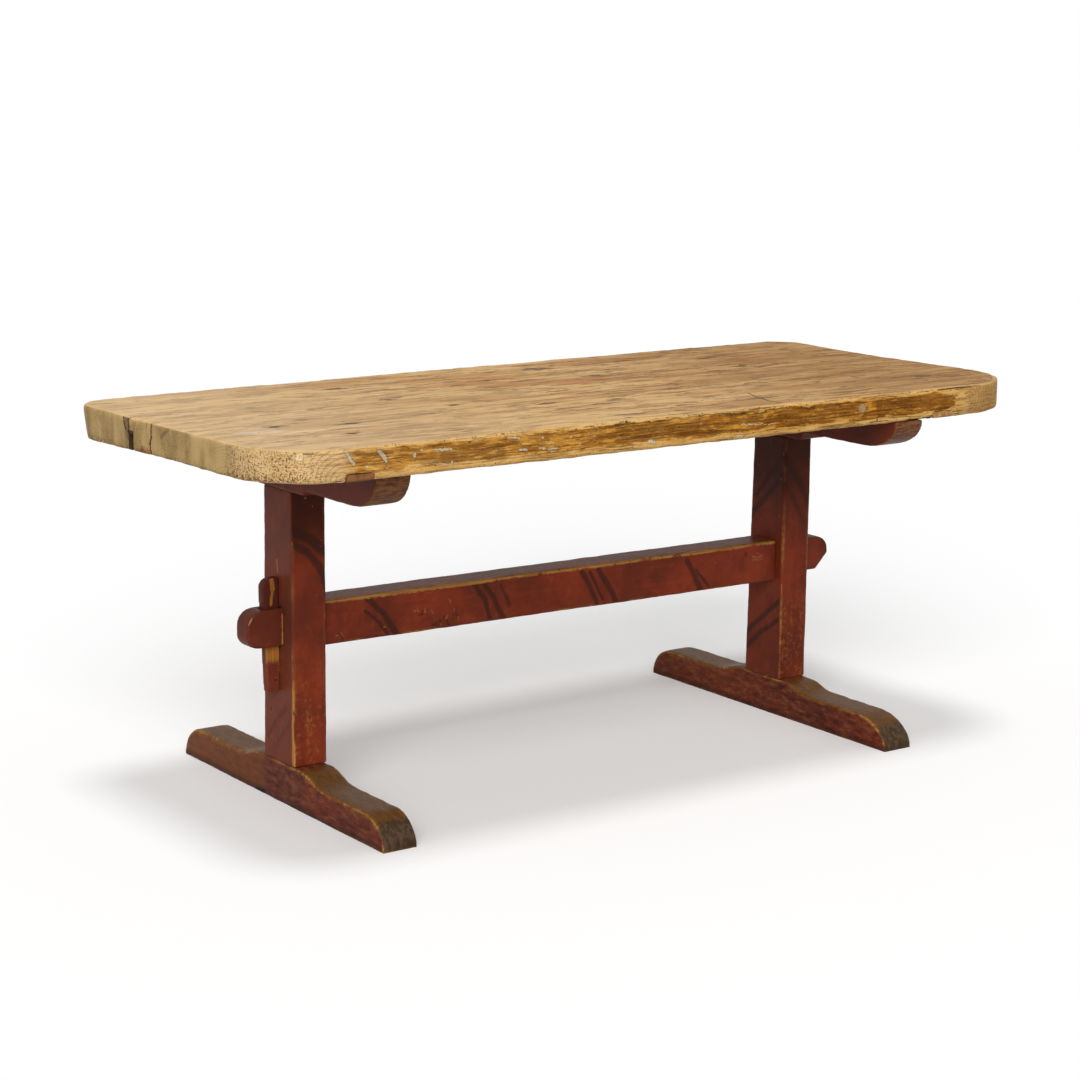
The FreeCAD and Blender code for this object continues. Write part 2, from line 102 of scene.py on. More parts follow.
# Feet, bearers and posts
BACK_ARM = 0.064
BACK_TOE = 0.064
SEAT_REACH = 0.070
OGEE_RUN = 0.098
PAD_DEPTH = 0.077
PAD_REACH = 0.096
STEP_RUN = 0.020
POST_TENON_HALF_THICKNESS = 0.015
POST_TENON_HALF_WIDTH = 0.042
POST_TENON_RECESS = 0.0026
POST_BACK_TAPER = 0.010
POST_ARRIS = 0.003

# Stretcher and tusk wedges
STRETCHER_HEIGHT = 0.088
STRETCHER_ARRIS = 0.003
STRETCHER_FALL = 0.007
TENON_HEIGHT = 0.072
TENON_HALF_THICKNESS = 0.023
UPPER_SHARE = 0.44
SLOT_HALF = 0.0093
SLOT_SPARE = 0.0003
SLOT_RELIEF = 0.005
SLOT_OVER = 0.005
WEDGE_FOOT = 0.027
WEDGE_HEAD = 0.038
WEDGE_HEAD_ROUND = 0.020

# Camera that saw the table, from its fit to the photograph
PHOTO_PIXELS = 1080
FOCAL_PIXELS = 2518.05
CAMERA_PLACE = Vector((-2.96133, -4.0674, 1.46611))
CAMERA_YAW = 0.61786
CAMERA_PITCH = 0.20178
CAMERA_ROLL = 0.01034
SENSOR = 36.0

# Slack that a picked vertex may have around the place it is picked by
NEAR = 0.0004

# How far a cutter stands out of what it cuts
CUTTER_SPARE = 0.01

# Segments of a softened arris, of a rounded tip and of the top's corners, and sides of a round bar
ARRIS_SEGMENTS = 3
ROUND_SEGMENTS = 8
CORNER_SEGMENTS = 14
BAR_SIDES = 40


def tone(red, green, blue):
    """Linear colour of a screen colour given in 0 to 255."""
    shares = [value / 255 for value in (red, green, blue)]
    return tuple(s / 12.92 if s <= 0.04045 else ((s + 0.055) / 1.055) ** 2.4 for s in shares)


class TopSettings(bpy.types.PropertyGroup):
    """Sizes and colours of the scrubbed top"""
    arris: FloatProperty(
        name="Arris", description="Round worn onto the top's edges", default=0.005, min=0.001, unit="LENGTH")
    seam: FloatProperty(
        name="Seam", description="Gap between two boards", default=0.0005, min=0.0001, unit="LENGTH")
    wave: FloatProperty(
        name="Wave", description="How much the planed faces wander", default=0.0030, min=0, unit="LENGTH")
    pale: FloatVectorProperty(
        name="Pale pine", description="Early wood, scrubbed", subtype="COLOR", default=tone(222, 184, 127))
    mid: FloatVectorProperty(
        name="Pine", description="Wood between the rings", subtype="COLOR", default=tone(198, 158, 106))
    late: FloatVectorProperty(
        name="Late wood", description="Dark line of a growth ring", subtype="COLOR",
        default=tone(168, 122, 72))
    streak: FloatVectorProperty(
        name="Streak", description="Brown streaks along the grain", subtype="COLOR",
        default=tone(126, 86, 50))
    end: FloatVectorProperty(
        name="End grain", description="Greyed end grain", subtype="COLOR", default=tone(200, 168, 114))
    varnish: FloatVectorProperty(
        name="Varnish", description="Old varnish left on the front edge", subtype="COLOR",
        default=tone(152, 92, 14))


class BaseSettings(bpy.types.PropertyGroup):
    """Sizes and colours of the painted base"""
    wave: FloatProperty(
        name="Wave", description="How much the hewn faces wander", default=0.0012, min=0, unit="LENGTH")
    worn: FloatProperty(
        name="Worn arris", description="Width of bare wood along an arris", default=0.0016, min=0,
        unit="LENGTH")
    paint: FloatVectorProperty(
        name="Paint", description="Oxblood paint", subtype="COLOR", default=tone(130, 51, 29))
    dull: FloatVectorProperty(
        name="Dull paint", description="Paint where it is dirty", subtype="COLOR", default=tone(97, 40, 25))
    stroke: FloatVectorProperty(
        name="Strokes", description="Dark brush strokes", subtype="COLOR", default=tone(54, 29, 20))
    bare: FloatVectorProperty(
        name="Bare wood", description="Pine where the paint is gone", subtype="COLOR",
        default=tone(178, 130, 68))
    olive: FloatVectorProperty(
        name="Trodden", description="Foot tops worn by shoes", subtype="COLOR", default=tone(112, 76, 36))
    toe: FloatVectorProperty(
        name="Toe ends", description="Dark end grain of toes and noses", subtype="COLOR",
        default=tone(58, 45, 34))


class StageSettings(bpy.types.PropertyGroup):
    """Floor and lights"""
    floor: FloatVectorProperty(
        name="Floor", description="Pale floor", subtype="COLOR", default=(0.58, 0.58, 0.58))
    sky: FloatProperty(
        name="Sky", description="Even light from all round", default=0.30, min=0)
    overhead: FloatProperty(
        name="Overhead", description="Soft light from above the table", default=1.00, min=0)
    front: FloatProperty(
        name="Front", description="Soft light from in front of the table", default=2.25, min=0)


# Object mode and edit mode, as by hand
def only(piece):
    """Leaves one piece selected and active."""
    bpy.ops.object.select_all(action="DESELECT")
    piece.select_set(True)
    bpy.context.view_layer.objects.active = piece


def settled(name):
    """The new primitive, named, with its size, turn and place in its mesh."""
    piece = bpy.context.object
    piece.name = name
    piece.data.name = name
    bpy.ops.object.transform_apply(location=True, rotation=True, scale=True)
    return piece


def block(name, low, high):
    """Cube primitive between two corners."""
    low = Vector(low)
    high = Vector(high)
    bpy.ops.object.select_all(action="DESELECT")
    bpy.ops.mesh.primitive_cube_add(size=1, location=(low + high) / 2)
    bpy.context.object.scale = high - low
    return settled(name)


def round_bar(name, middle, diameter, length, turn=(0, 0, 0)):
    """Cylinder primitive round a middle, upright unless it is turned."""
    bpy.ops.object.select_all(action="DESELECT")
    bpy.ops.mesh.primitive_cylinder_add(
        vertices=BAR_SIDES, radius=diameter / 2, depth=length, location=middle, rotation=turn)
    return settled(name)


def open_mesh(piece):
    only(piece)
    bpy.ops.object.mode_set(mode="EDIT")


def close_mesh():
    bpy.ops.object.mode_set(mode="OBJECT")


def pick(kind, test):
    """Selects the vertices, edges or faces of the open mesh for which the test holds."""
    bpy.ops.mesh.select_mode(type=kind)
    bpy.ops.mesh.select_all(action="DESELECT")
    mesh = bpy.context.object.data
    shape = bmesh.from_edit_mesh(mesh)
    parts = {"VERT": shape.verts, "EDGE": shape.edges, "FACE": shape.faces}[kind]
    for part in parts:
        if test(part):
            part.select_set(True)
    shape.select_flush_mode()
    bmesh.update_edit_mesh(mesh)


def move(test, by):
    """Moves the picked vertices of the open mesh."""
    pick("VERT", test)
    bpy.ops.transform.translate(value=by)


def slice_at(place, across, fill=False, drop_before=False, drop_after=False):
    """Cuts the whole open mesh along a plane."""
    bpy.ops.mesh.select_all(action="SELECT")
    bpy.ops.mesh.bisect(
        plane_co=place, plane_no=across, use_fill=fill, clear_inner=drop_before, clear_outer=drop_after)


def bevel(test, size, segments=1):
    """Takes the picked edges off, flat with one segment or round with more."""
    pick("EDGE", test)
    bpy.ops.mesh.bevel(offset=size, offset_type="OFFSET", segments=segments, affect="EDGES")


def edge_middle(edge):
    return (edge.verts[0].co + edge.verts[1].co) / 2


def edge_run(edge):
    return edge.verts[1].co - edge.verts[0].co


def along_axis(edge, axis):
    """Whether an edge runs along an axis, given as 0, 1 or 2."""
    run = edge_run(edge)
    return abs(run[axis]) > 0.98 * run.length


def joined(pieces):
    """One object from several, with the first one's name."""
    bpy.ops.object.select_all(action="DESELECT")
    for piece in pieces:
        piece.select_set(True)
    bpy.context.view_layer.objects.active = pieces[0]
    bpy.ops.object.join()
    return pieces[0]


def apply(piece, modifier):
    only(piece)
    bpy.ops.object.modifier_apply(modifier=modifier.name)


def cut(piece, cutter):
    """Takes the cutter's volume out of a piece and throws the cutter away."""
    modifier = piece.modifiers.new("cut", "BOOLEAN")
    modifier.operation = "DIFFERENCE"
    modifier.solver = "EXACT"
    modifier.object = cutter
    apply(piece, modifier)
    bpy.data.objects.remove(cutter)


# Ageing of a sharp block into old hand-worked timber
SHARP = 0.5
ARRIS_STEP = 0.003
FAR_FROM_ARRIS = 0.05
ARRIS_REACH = 0.014
SOFTENING = 0.5

# Clouds that move a face in and out: long waves, short ripples, and nibbles along the arrises
WAVE_SIZE = 0.28
RIPPLE_SIZE = 0.045
RIPPLE_SHARE = 0.3
NIBBLE_SIZE = 0.030
NIBBLE_LEVEL = 0.62


def arris_line(piece):
    """Points along the sharp edges of a piece, as a tree to measure from."""
    shape = bmesh.new()
    shape.from_mesh(piece.data)
    points = []
    for edge in shape.edges:
        if len(edge.link_faces) == 2 and edge.calc_face_angle(0) > SHARP:
            steps = max(1, int(edge.calc_length() / ARRIS_STEP))
            start = edge.verts[0].co
            run = edge_run(edge)
            points += [start + run * (step / steps) for step in range(steps + 1)]
    shape.free()
    tree = KDTree(len(points))
    for number, place in enumerate(points):
        tree.insert(place, number)
    tree.balance()
    return tree


def mark_arris(piece, tree):
    """Writes every vertex's distance from the nearest sharp edge, and a group that fades away from it."""
    mesh = piece.data
    distances = [min(tree.find(vertex.co)[2], FAR_FROM_ARRIS) for vertex in mesh.vertices]
    mesh.attributes.new("arris", "FLOAT", "POINT")
    mesh.attributes["arris"].data.foreach_set("value", distances)
    group = piece.vertex_groups.new(name="near_arris")
    for number, distance in enumerate(distances):
        if distance < ARRIS_REACH:
            group.add([number], 1 - distance / ARRIS_REACH, "REPLACE")


def wander(piece, size, depth, level=0.5, near_arris=False):
    """Moves the surface in and out by soft clouds of a size."""
    cloud = bpy.data.textures.new("wander", "CLOUDS")
    cloud.noise_scale = size
    cloud.noise_depth = 2
    modifier = piece.modifiers.new("wander", "DISPLACE")
    modifier.texture = cloud
    modifier.texture_coords = "LOCAL"
    modifier.direction = "NORMAL"
    modifier.mid_level = level
    modifier.strength = depth
    if near_arris:
        modifier.vertex_group = "near_arris"
    apply(piece, modifier)


def even_faces(piece, grain):
    """Rebuilds a piece from small faces of one size."""
    remesh = piece.modifiers.new("even faces", "REMESH")
    remesh.mode = "VOXEL"
    remesh.voxel_size = grain
    remesh.use_smooth_shade = True
    apply(piece, remesh)


def age(piece, grain, wave, rounds=2, nibble=0.0016):
    """Even small faces, softened arrises and the slight waves of handwork; grain is the faces' size."""
    tree = arris_line(piece)
    even_faces(piece, grain)
    smooth = piece.modifiers.new("soften", "SMOOTH")
    smooth.factor = SOFTENING
    smooth.iterations = rounds
    apply(piece, smooth)
    mark_arris(piece, tree)
    wander(piece, WAVE_SIZE, wave)
    wander(piece, RIPPLE_SIZE, wave * RIPPLE_SHARE)
    wander(piece, NIBBLE_SIZE, nibble, level=NIBBLE_LEVEL, near_arris=True)


def hand_over(piece, body, nodes, finish):
    """Gives a finished piece its material and its body, and hides the CAD nodes that it stands for."""
    piece.data.materials.clear()
    piece.data.materials.append(finish)
    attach(piece, body)
    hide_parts(*nodes)


# Materials; each piece's seed moves its noise by these shares along Y and Z
SEED_Y = 1.7
SEED_Z = 0.6

# Growth rings: sway of the pith line, and scale of its noise along and across the grain
RING_SWAY = 0.014
PITH_ALONG = 0.9
PITH_ACROSS = 2.6

# Sway of the grain lines that curl on the corners
CURL_SWAY = 0.030

# Middle of a noise, for each axis
HALF = (0.5, 0.5, 0.5)


class Finish:
    """Lays out one material's nodes; a socket or a plain value may feed any input."""

    def __init__(self, name, seed=0.0):
        self.material = bpy.data.materials.new(name)
        self.material.use_nodes = True
        self.nodes = self.material.node_tree.nodes
        self.links = self.material.node_tree.links
        self.shader = self.nodes["Principled BSDF"]
        self.seed = seed
        coordinates = self.nodes.new("ShaderNodeTexCoord")
        self.place = coordinates.outputs["Object"]
        self.x, self.y, self.z = self.split(self.place)
        self.facing_x, self.facing_y, self.facing_z = self.split(coordinates.outputs["Normal"])
        self.arris = self.add("ShaderNodeAttribute", attribute_name="arris").outputs["Fac"]

    def feed(self, socket, value):
        if isinstance(value, bpy.types.NodeSocket):
            self.links.new(value, socket)
        elif socket.type == "RGBA" and len(value) == 3:
            socket.default_value = (*value, 1)
        else:
            socket.default_value = value

    def add(self, kind, **settings):
        node = self.nodes.new(kind)
        for name, value in settings.items():
            setattr(node, name, value)
        return node

    def split(self, vector):
        node = self.add("ShaderNodeSeparateXYZ")
        self.feed(node.inputs[0], vector)
        return node.outputs[0], node.outputs[1], node.outputs[2]

    def gather(self, *values):
        node = self.add("ShaderNodeCombineXYZ")
        for socket, value in zip(node.inputs, values):
            self.feed(socket, value)
        return node.outputs[0]

    def math(self, operation, *values):
        node = self.add("ShaderNodeMath", operation=operation)
        for socket, value in zip(node.inputs, values):
            self.feed(socket, value)
        return node.outputs[0]

    def held(self, value):
        """A value held between 0 and 1, by a node of its own that the shader takes up in turn."""
        node = self.add("ShaderNodeClamp")
        self.feed(node.inputs["Value"], value)
        return node.outputs["Result"]

    def times(self, *values):
        product = values[0]
        for value in values[1:]:
            product = self.math("MULTIPLY", product, value)
        return product

    def most(self, *values):
        best = values[0]
        for value in values[1:]:
            best = self.math("MAXIMUM", best, value)
        return best

    def size(self, value):
        return self.math("ABSOLUTE", value)

    def less(self, value):
        """What is left of 1."""
        return self.math("SUBTRACT", 1.0, value)

    def fade(self, value, start, end):
        """0 at start, 1 at end, smooth between and level outside; start may be above end."""
        node = self.add("ShaderNodeMapRange", interpolation_type="SMOOTHSTEP", clamp=False)
        self.feed(node.inputs["Value"], value)
        self.feed(node.inputs["From Min"], start)
        self.feed(node.inputs["From Max"], end)
        return node.outputs["Result"]

    def mix(self, share, under, over):
        node = self.add("ShaderNodeMix", data_type="RGBA")
        self.feed(node.inputs[0], share)
        self.feed(node.inputs[6], under)
        self.feed(node.inputs[7], over)
        return node.outputs[2]

    def tint(self, share, under, colour):
        """Multiplies a colour, so that its contrast is kept."""
        node = self.add("ShaderNodeMix", data_type="RGBA", blend_type="MULTIPLY")
        self.feed(node.inputs[0], share)
        self.feed(node.inputs[6], under)
        self.feed(node.inputs[7], colour)
        return node.outputs[2]

    def curl(self, x, z, spacing, noise):
        """Thin lines of grain that curl round a place on the front edge."""
        offset = self.gather(self.math("SUBTRACT", self.x, x), 0.0, self.math("SUBTRACT", self.z, z))
        distance = self.math("MULTIPLY_ADD", noise, CURL_SWAY, self.length(offset))
        turn = self.math("DIVIDE", distance, spacing)
        saw = self.math("FRACT", turn)
        return self.times(self.fade(saw, 0.50, 0.90), self.fade(saw, 1.0, 0.94))

    def vector(self, operation, first, second):
        node = self.add("ShaderNodeVectorMath", operation=operation)
        self.feed(node.inputs[0], first)
        self.feed(node.inputs[1], second)
        return node.outputs["Value"] if operation in ("DOT_PRODUCT", "LENGTH") else node.outputs["Vector"]

    def length(self, vector):
        return self.vector("LENGTH", vector, (0, 0, 0))

    def scaled(self, vector, share):
        node = self.add("ShaderNodeVectorMath", operation="SCALE")
        self.feed(node.inputs[0], vector)
        self.feed(node.inputs["Scale"], share)
        return node.outputs["Vector"]

    def stretched(self, scale, shift=0.0, place=None):
        """Coordinates drawn out by a scale for each axis, moved by the piece's own seed."""
        node = self.add("ShaderNodeMapping")
        self.feed(node.inputs["Vector"], place or self.place)
        offset = self.seed + shift
        node.inputs["Location"].default_value = (offset, offset * SEED_Y, offset * SEED_Z)
        node.inputs["Scale"].default_value = scale
        return node.outputs["Vector"]

    def cloud(self, scale, detail=2.0, rough=0.5, shift=0.0, place=None):
        """Noise drawn out by a scale for each axis."""
        return self.cloud_node(scale, detail, rough, shift, place).outputs["Fac"]

    def cloud_node(self, scale, detail, rough, shift, place=None):
        node = self.add("ShaderNodeTexNoise")
        self.feed(node.inputs["Vector"], self.stretched(scale, shift, place))
        node.inputs["Scale"].default_value = 1.0
        node.inputs["Detail"].default_value = detail
        node.inputs["Roughness"].default_value = rough
        return node

    def swayed(self, scale, detail, rough, shift, by):
        """Place moved about by soft noise, so that what is drawn there runs less straight."""
        sway = self.cloud_node(scale, detail, rough, shift).outputs["Color"]
        return self.vector("ADD", self.place, self.scaled(self.vector("SUBTRACT", sway, HALF), by))

    def cells(self, scale, shift=0.0):
        """Distance and random tint of scattered cells."""
        node = self.add("ShaderNodeTexVoronoi")
        self.feed(node.inputs["Vector"], self.stretched(scale, shift))
        node.inputs["Scale"].default_value = 1.0
        return node.outputs["Distance"], self.split(node.outputs["Color"])[0]

    def rings(self, grain, pith, spacing):
        """Growth rings round a wandering pith line: 0 in early wood, up to 1 on the line of late wood."""
        slow = self.cloud_node(drawn_out(grain, PITH_ALONG, PITH_ACROSS), 2.0, 0.5, 0.0)
        noises = self.split(slow.outputs["Color"])
        across = [axis for number, axis in enumerate((self.x, self.y, self.z)) if number != grain]
        offsets = []
        for noise, axis, middle in zip(noises, across, pith):
            swung = self.math("MULTIPLY_ADD", noise, RING_SWAY, axis)
            offsets.append(self.math("SUBTRACT", swung, middle + RING_SWAY / 2))
        distance = self.length(self.gather(*offsets, 0.0))
        turn = self.math("DIVIDE", distance, spacing)
        saw = self.math("FRACT", turn)
        late = self.times(self.fade(saw, 0.30, 0.93), self.fade(saw, 1.0, 0.95))
        chance = self.add("ShaderNodeTexWhiteNoise", noise_dimensions="1D")
        self.feed(chance.inputs["W"], self.math("FLOOR", turn))
        return self.times(late, self.math("MULTIPLY_ADD", chance.outputs["Value"], 0.75, 0.25))

    def stroke(self, place, start, end, width, end_share=1.0):
        """How deep a point lies in a stroke: 1 on its line, 0 at its edge and outside."""
        run = Vector(end) - Vector(start)
        offset = self.vector("SUBTRACT", place, start)
        share = self.held(self.math("DIVIDE", self.vector("DOT_PRODUCT", offset, run), run.length_squared))
        gap = self.length(self.vector("SUBTRACT", offset, self.scaled(run, share)))
        breadth = self.math("MULTIPLY_ADD", share, width * (end_share - 1), width)
        return self.held(self.less(self.math("DIVIDE", gap, breadth)))

    def deepest(self, depths):
        """Greatest of many values, taken up one by one so that a shader holds few of them at once."""
        best = None
        for depth in depths:
            best = self.math("MAXIMUM", best, depth) if best else depth
        return best

    def strokes(self, place, lines):
        """Deepest of several bent strokes, each (points, half width, strength)."""
        return self.deepest(self.times(self.stroke(place, start, end, width), strength)
                            for points, width, strength in lines for start, end in zip(points, points[1:]))

    def knot(self, x, y, half_length, half_width):
        """How deep a point lies in a knot of the top: 1 in its middle, 0 at its edge."""
        offset = self.vector("SUBTRACT", self.place, (x, y, TABLE_TOP))
        share = self.vector("MULTIPLY", offset, (1 / half_length, 1 / half_width, 1 / KNOT_DEPTH))
        return self.less(self.length(share))

    def broken(self, depth, noise, share):
        """Stroke depth made more and less by noise around zero, but only where there is a stroke."""
        return self.times(depth, self.math("MULTIPLY_ADD", noise, share, 1.0))

    def finish(self, colour, roughness, height, depth, gloss):
        """Links colour, roughness and a bump of the given depth to the shader, and sets its gloss."""
        self.shader.inputs["Specular IOR Level"].default_value = gloss
        self.feed(self.shader.inputs["Base Color"], colour)
        self.feed(self.shader.inputs["Roughness"], roughness)
        bump = self.add("ShaderNodeBump")
        bump.inputs["Strength"].default_value = 1.0
        bump.inputs["Distance"].default_value = depth
        self.feed(bump.inputs["Height"], height)
        self.links.new(bump.outputs["Normal"], self.shader.inputs["Normal"])
        return self.material


ALONG = {"x": 0, "y": 1, "z": 2}


def drawn_out(grain, along, across):
    """Noise scale that is drawn out along the grain."""
    scale = [across, across, across]
    scale[grain] = along
    return scale


# Marks on the top, as places on it: knots with their half length and half width
KNOTS = (
    (-0.618, -0.166, 0.030, 0.010), (-0.407, 0.237, 0.045, 0.012), (-0.392, 0.058, 0.024, 0.014),
    (-0.327, -0.070, 0.026, 0.012), (-0.752, -0.124, 0.026, 0.012), (0.100, 0.286, 0.034, 0.012),
    (0.128, 0.270, 0.050, 0.010), (0.150, 0.125, 0.030, 0.016), (-0.079, -0.207, 0.040, 0.008),
    (0.235, -0.306, 0.030, 0.010), (0.711, -0.260, 0.026, 0.006), (0.557, -0.229, 0.030, 0.006),
    (-0.669, -0.260, 0.022, 0.012), (0.531, 0.220, 0.035, 0.010),
)
KNOT_DEPTH = 0.06

# Painted sheen near the left end: a pale patch, from place to place with its half width
PAINTED_SHEEN = ((-0.826, -0.160, TABLE_TOP), (-0.778, -0.166, TABLE_TOP), 0.034)

# Flecks of old paint on the front edge, (x, z) from end to end and half width
FLECKS = (
    ((-0.763, 0.745), (-0.747, 0.721), 0.0030), ((-0.695, 0.739), (-0.680, 0.721), 0.0042),
    ((-0.682, 0.711), (-0.679, 0.706), 0.0016), ((-0.622, 0.726), (-0.622, 0.723), 0.0040),
    ((-0.612, 0.733), (-0.607, 0.733), 0.0020), ((-0.579, 0.731), (-0.546, 0.730), 0.0022),
    ((-0.545, 0.707), (-0.544, 0.700), 0.0026), ((-0.591, 0.709), (-0.553, 0.704), 0.0011),
    ((-0.426, 0.741), (-0.400, 0.737), 0.0022), ((-0.398, 0.716), (-0.384, 0.7155), 0.0026),
    ((-0.354, 0.714), (-0.345, 0.7137), 0.0018), ((-0.334, 0.711), (-0.317, 0.712), 0.0022),
    ((-0.349, 0.733), (-0.348, 0.732), 0.0030), ((0.120, 0.719), (0.199, 0.713), 0.0013),
    ((0.116, 0.699), (0.092, 0.686), 0.0020), ((-0.104, 0.706), (-0.092, 0.703), 0.0036),
)
FLECK_SPREAD = 1.35

# What is kept of a place to draw on a face that looks along Y, or along X
ON_Y_FACE = (1, 0, 1)
ON_X_FACE = (0, 1, 1)


def flat(points, axis):
    """Points of a stroke on a face, with the axis across the face left at zero."""
    return [(a, 0, b) if axis == "y" else (0, a, b) for a, b in points]


def laid(lines, axis, spread=1.0):
    """Strokes given by two numbers a point, laid on a face that looks along an axis and spread in width."""
    return [(flat(points, axis), width * spread, strength) for points, width, strength in lines]


def scrubbed_pine(name, seed, pith, spacing, tint=0.5, front_edge=False, knots=()):
    """Old scrubbed pine: rings, streaks along the grain, dents and knots, with greyed end grain."""
    colours = bpy.context.scene.trestle_table_top
    f = Finish(name, seed)
    grain = ALONG["x"]
    late = f.rings(grain, pith, spacing)
    drift = f.math("SUBTRACT", f.cloud((4, 4, 4), 3, 0.55, 0.5), 0.5)
    bent = f.gather(f.x, f.math("MULTIPLY_ADD", drift, 0.050, f.y), f.z)
    fibre = f.cloud(drawn_out(grain, 5, 300), 4, 0.6, 1.0)
    band = f.cloud((2.4, 17, 17), 4, 0.60, 2.0, bent)
    line = f.cloud((6, 62, 62), 5, 0.72, 3.0, bent)
    dash = f.cloud((16, 92, 92), 3, 0.64, 4.0, bent)
    nick = f.cloud((70, 115, 115), 2, 0.5, 5.0)
    zone = f.cloud((1.3, 3.4, 3.4), 3, 0.5, 6.0)
    patch = f.cloud((5, 10, 10), 4, 0.6, 7.0)
    smudge = f.cloud((9, 17, 17), 5, 0.70, 7.5)

    wood = f.mix(f.fade(fibre, 0.30, 0.72), colours.pale, colours.mid)
    wood = f.mix(f.times(late, 0.22), wood, colours.late)
    wood = f.mix(f.times(f.fade(band, 0.45, 0.58), 0.52), wood, colours.late)
    wood = f.mix(f.times(f.fade(line, 0.44, 0.34), 0.55), wood, tone(234, 204, 156))
    ruddy = f.fade(f.stroke(f.place, (-0.05, 0.05, TABLE_TOP), (0.50, 0.11, TABLE_TOP), 0.20), 0.0, 0.7)
    ruddy = f.times(f.most(f.fade(zone, 0.52, 0.68), ruddy), f.fade(band, 0.40, 0.60))
    wood = f.mix(f.times(ruddy, 0.52), wood, tone(164, 104, 52))
    streaks = f.times(f.fade(line, 0.52, 0.61), f.math("MULTIPLY_ADD", f.fade(zone, 0.40, 0.60), 0.62, 0.38))
    wood = f.mix(f.times(streaks, 0.82), wood, colours.streak)
    wood = f.mix(f.times(f.fade(patch, 0.46, 0.34), 0.30 * tint), wood, tone(146, 120, 88))
    wood = f.mix(f.times(f.fade(smudge, 0.54, 0.62), 0.46), wood, tone(134, 102, 68))
    dashes = f.times(f.fade(dash, 0.580, 0.635), f.fade(patch, 0.40, 0.52))
    wood = f.mix(f.times(dashes, 0.85), wood, tone(82, 53, 30))
    # Painted light: the top is paler towards the left end and darker towards the right, as the light falls
    # off across it
    wood = f.mix(f.times(f.fade(f.x, -0.10, -0.90), 0.34), wood, tone(232, 206, 168))
    wood = f.tint(f.fade(f.x, -0.10, 0.70), wood, (0.68, 0.61, 0.51))
    # Painted sheen: a pale patch near the left end of the top
    painted_sheen = f.broken(f.stroke(f.place, *PAINTED_SHEEN), f.math("SUBTRACT", smudge, 0.5), 4.0)
    wood = f.mix(f.times(f.fade(painted_sheen, 0.0, 0.9), 0.36), wood, tone(238, 222, 200))
    nicks = f.fade(nick, 0.71, 0.75)
    wood = f.mix(f.times(nicks, 0.80), wood, tone(70, 46, 28))

    if knots:
        grit = f.math("SUBTRACT", f.cloud((36, 90, 90), 4, 0.7, 8.0), 0.5)
        deepest = f.math("MULTIPLY_ADD", grit, 3.4, f.deepest(f.knot(*knot) for knot in knots))
        wood = f.mix(f.times(f.fade(deepest, -0.30, 0.60), 0.58), wood, tone(122, 100, 76))
        wood = f.mix(f.times(f.fade(deepest, 0.30, 0.70), 0.80), wood, tone(66, 50, 38))

    # Worn arrises are paler and cleaner
    rubbed = f.fade(f.math("MULTIPLY_ADD", patch, -0.010, f.arris), 0.004, -0.001)
    wood = f.mix(f.times(rubbed, 0.45), wood, tone(216, 180, 126))

    # Sawn ends, greyed, with their rings, stains and open pores
    ends = f.fade(f.size(f.facing_x), 0.45, 0.80)
    stain = f.cloud((6, 16, 5), 4, 0.6, 9.0)
    sawn = f.mix(f.fade(stain, 0.36, 0.66), colours.end, tone(156, 128, 82))
    sawn = f.mix(f.times(late, 0.26), sawn, tone(128, 100, 62))
    pores = f.cloud((220, 220, 220), 3, 0.6, 10.0)
    sawn = f.mix(f.times(f.fade(pores, 0.57, 0.64), f.fade(stain, 0.40, 0.60), 0.55), sawn, tone(98, 72, 44))
    sawn = left_end_marks(f, sawn, pores)
    wood = f.mix(ends, wood, sawn)

    # Near-black colour down in the open seams and the notch
    inside = f.times(f.fade(f.size(f.facing_y), 0.45, 0.75), f.fade(f.x, -0.70, -0.80))
    seams = f.most(f.fade(f.size(f.math("SUBTRACT", f.y, BACK_SEAM)), 0.025, 0.019),
                   f.fade(f.size(f.math("SUBTRACT", f.y, MIDDLE_SEAM)), 0.006, 0.003))
    wood = f.mix(f.times(inside, seams, 0.92), wood, tone(34, 23, 14))

    height = f.math("MULTIPLY_ADD", late, 0.30, f.times(fibre, 0.5))
    height = f.math("MULTIPLY_ADD", nicks, -0.8, height)
    height = f.math("MULTIPLY_ADD", dashes, -0.45, height)
    height = f.math("MULTIPLY_ADD", streaks, -0.25, height)
    roughness = f.math("MULTIPLY_ADD", fibre, 0.16, 0.56)

    if front_edge:
        wood, height, roughness = front_edge_marks(f, wood, height, roughness, stain, colours)
    return f.finish(wood, roughness, height, 0.0011, gloss=0.06)


# Cracks in the left end, as (y, z) places along each crack, half width and strength
END_CRACKS = (
    (((0.142, 0.752), (0.138, 0.736), (0.132, 0.727)), 0.0026, 0.85),
    (((0.123, 0.752), (0.122, 0.738), (0.119, 0.722)), 0.0022, 0.80),
    (((0.121, 0.722), (0.106, 0.721)), 0.0060, 0.80),
    (((0.038, 0.752), (0.034, 0.730), (0.040, 0.708), (0.035, 0.688)), 0.0030, 1.0),
)

# Stains beside the cracks, and rotten crumbs low down from place to place with their half width
END_SMEARS = (
    (((0.134, 0.752), (0.122, 0.716)), 0.0150, 1.0),
    (((-0.024, 0.744), (-0.002, 0.728)), 0.0065, 0.6),
)
END_CRUMBS = ((0, 0.046, 0.686), (0, 0.068, 0.690), 0.016)


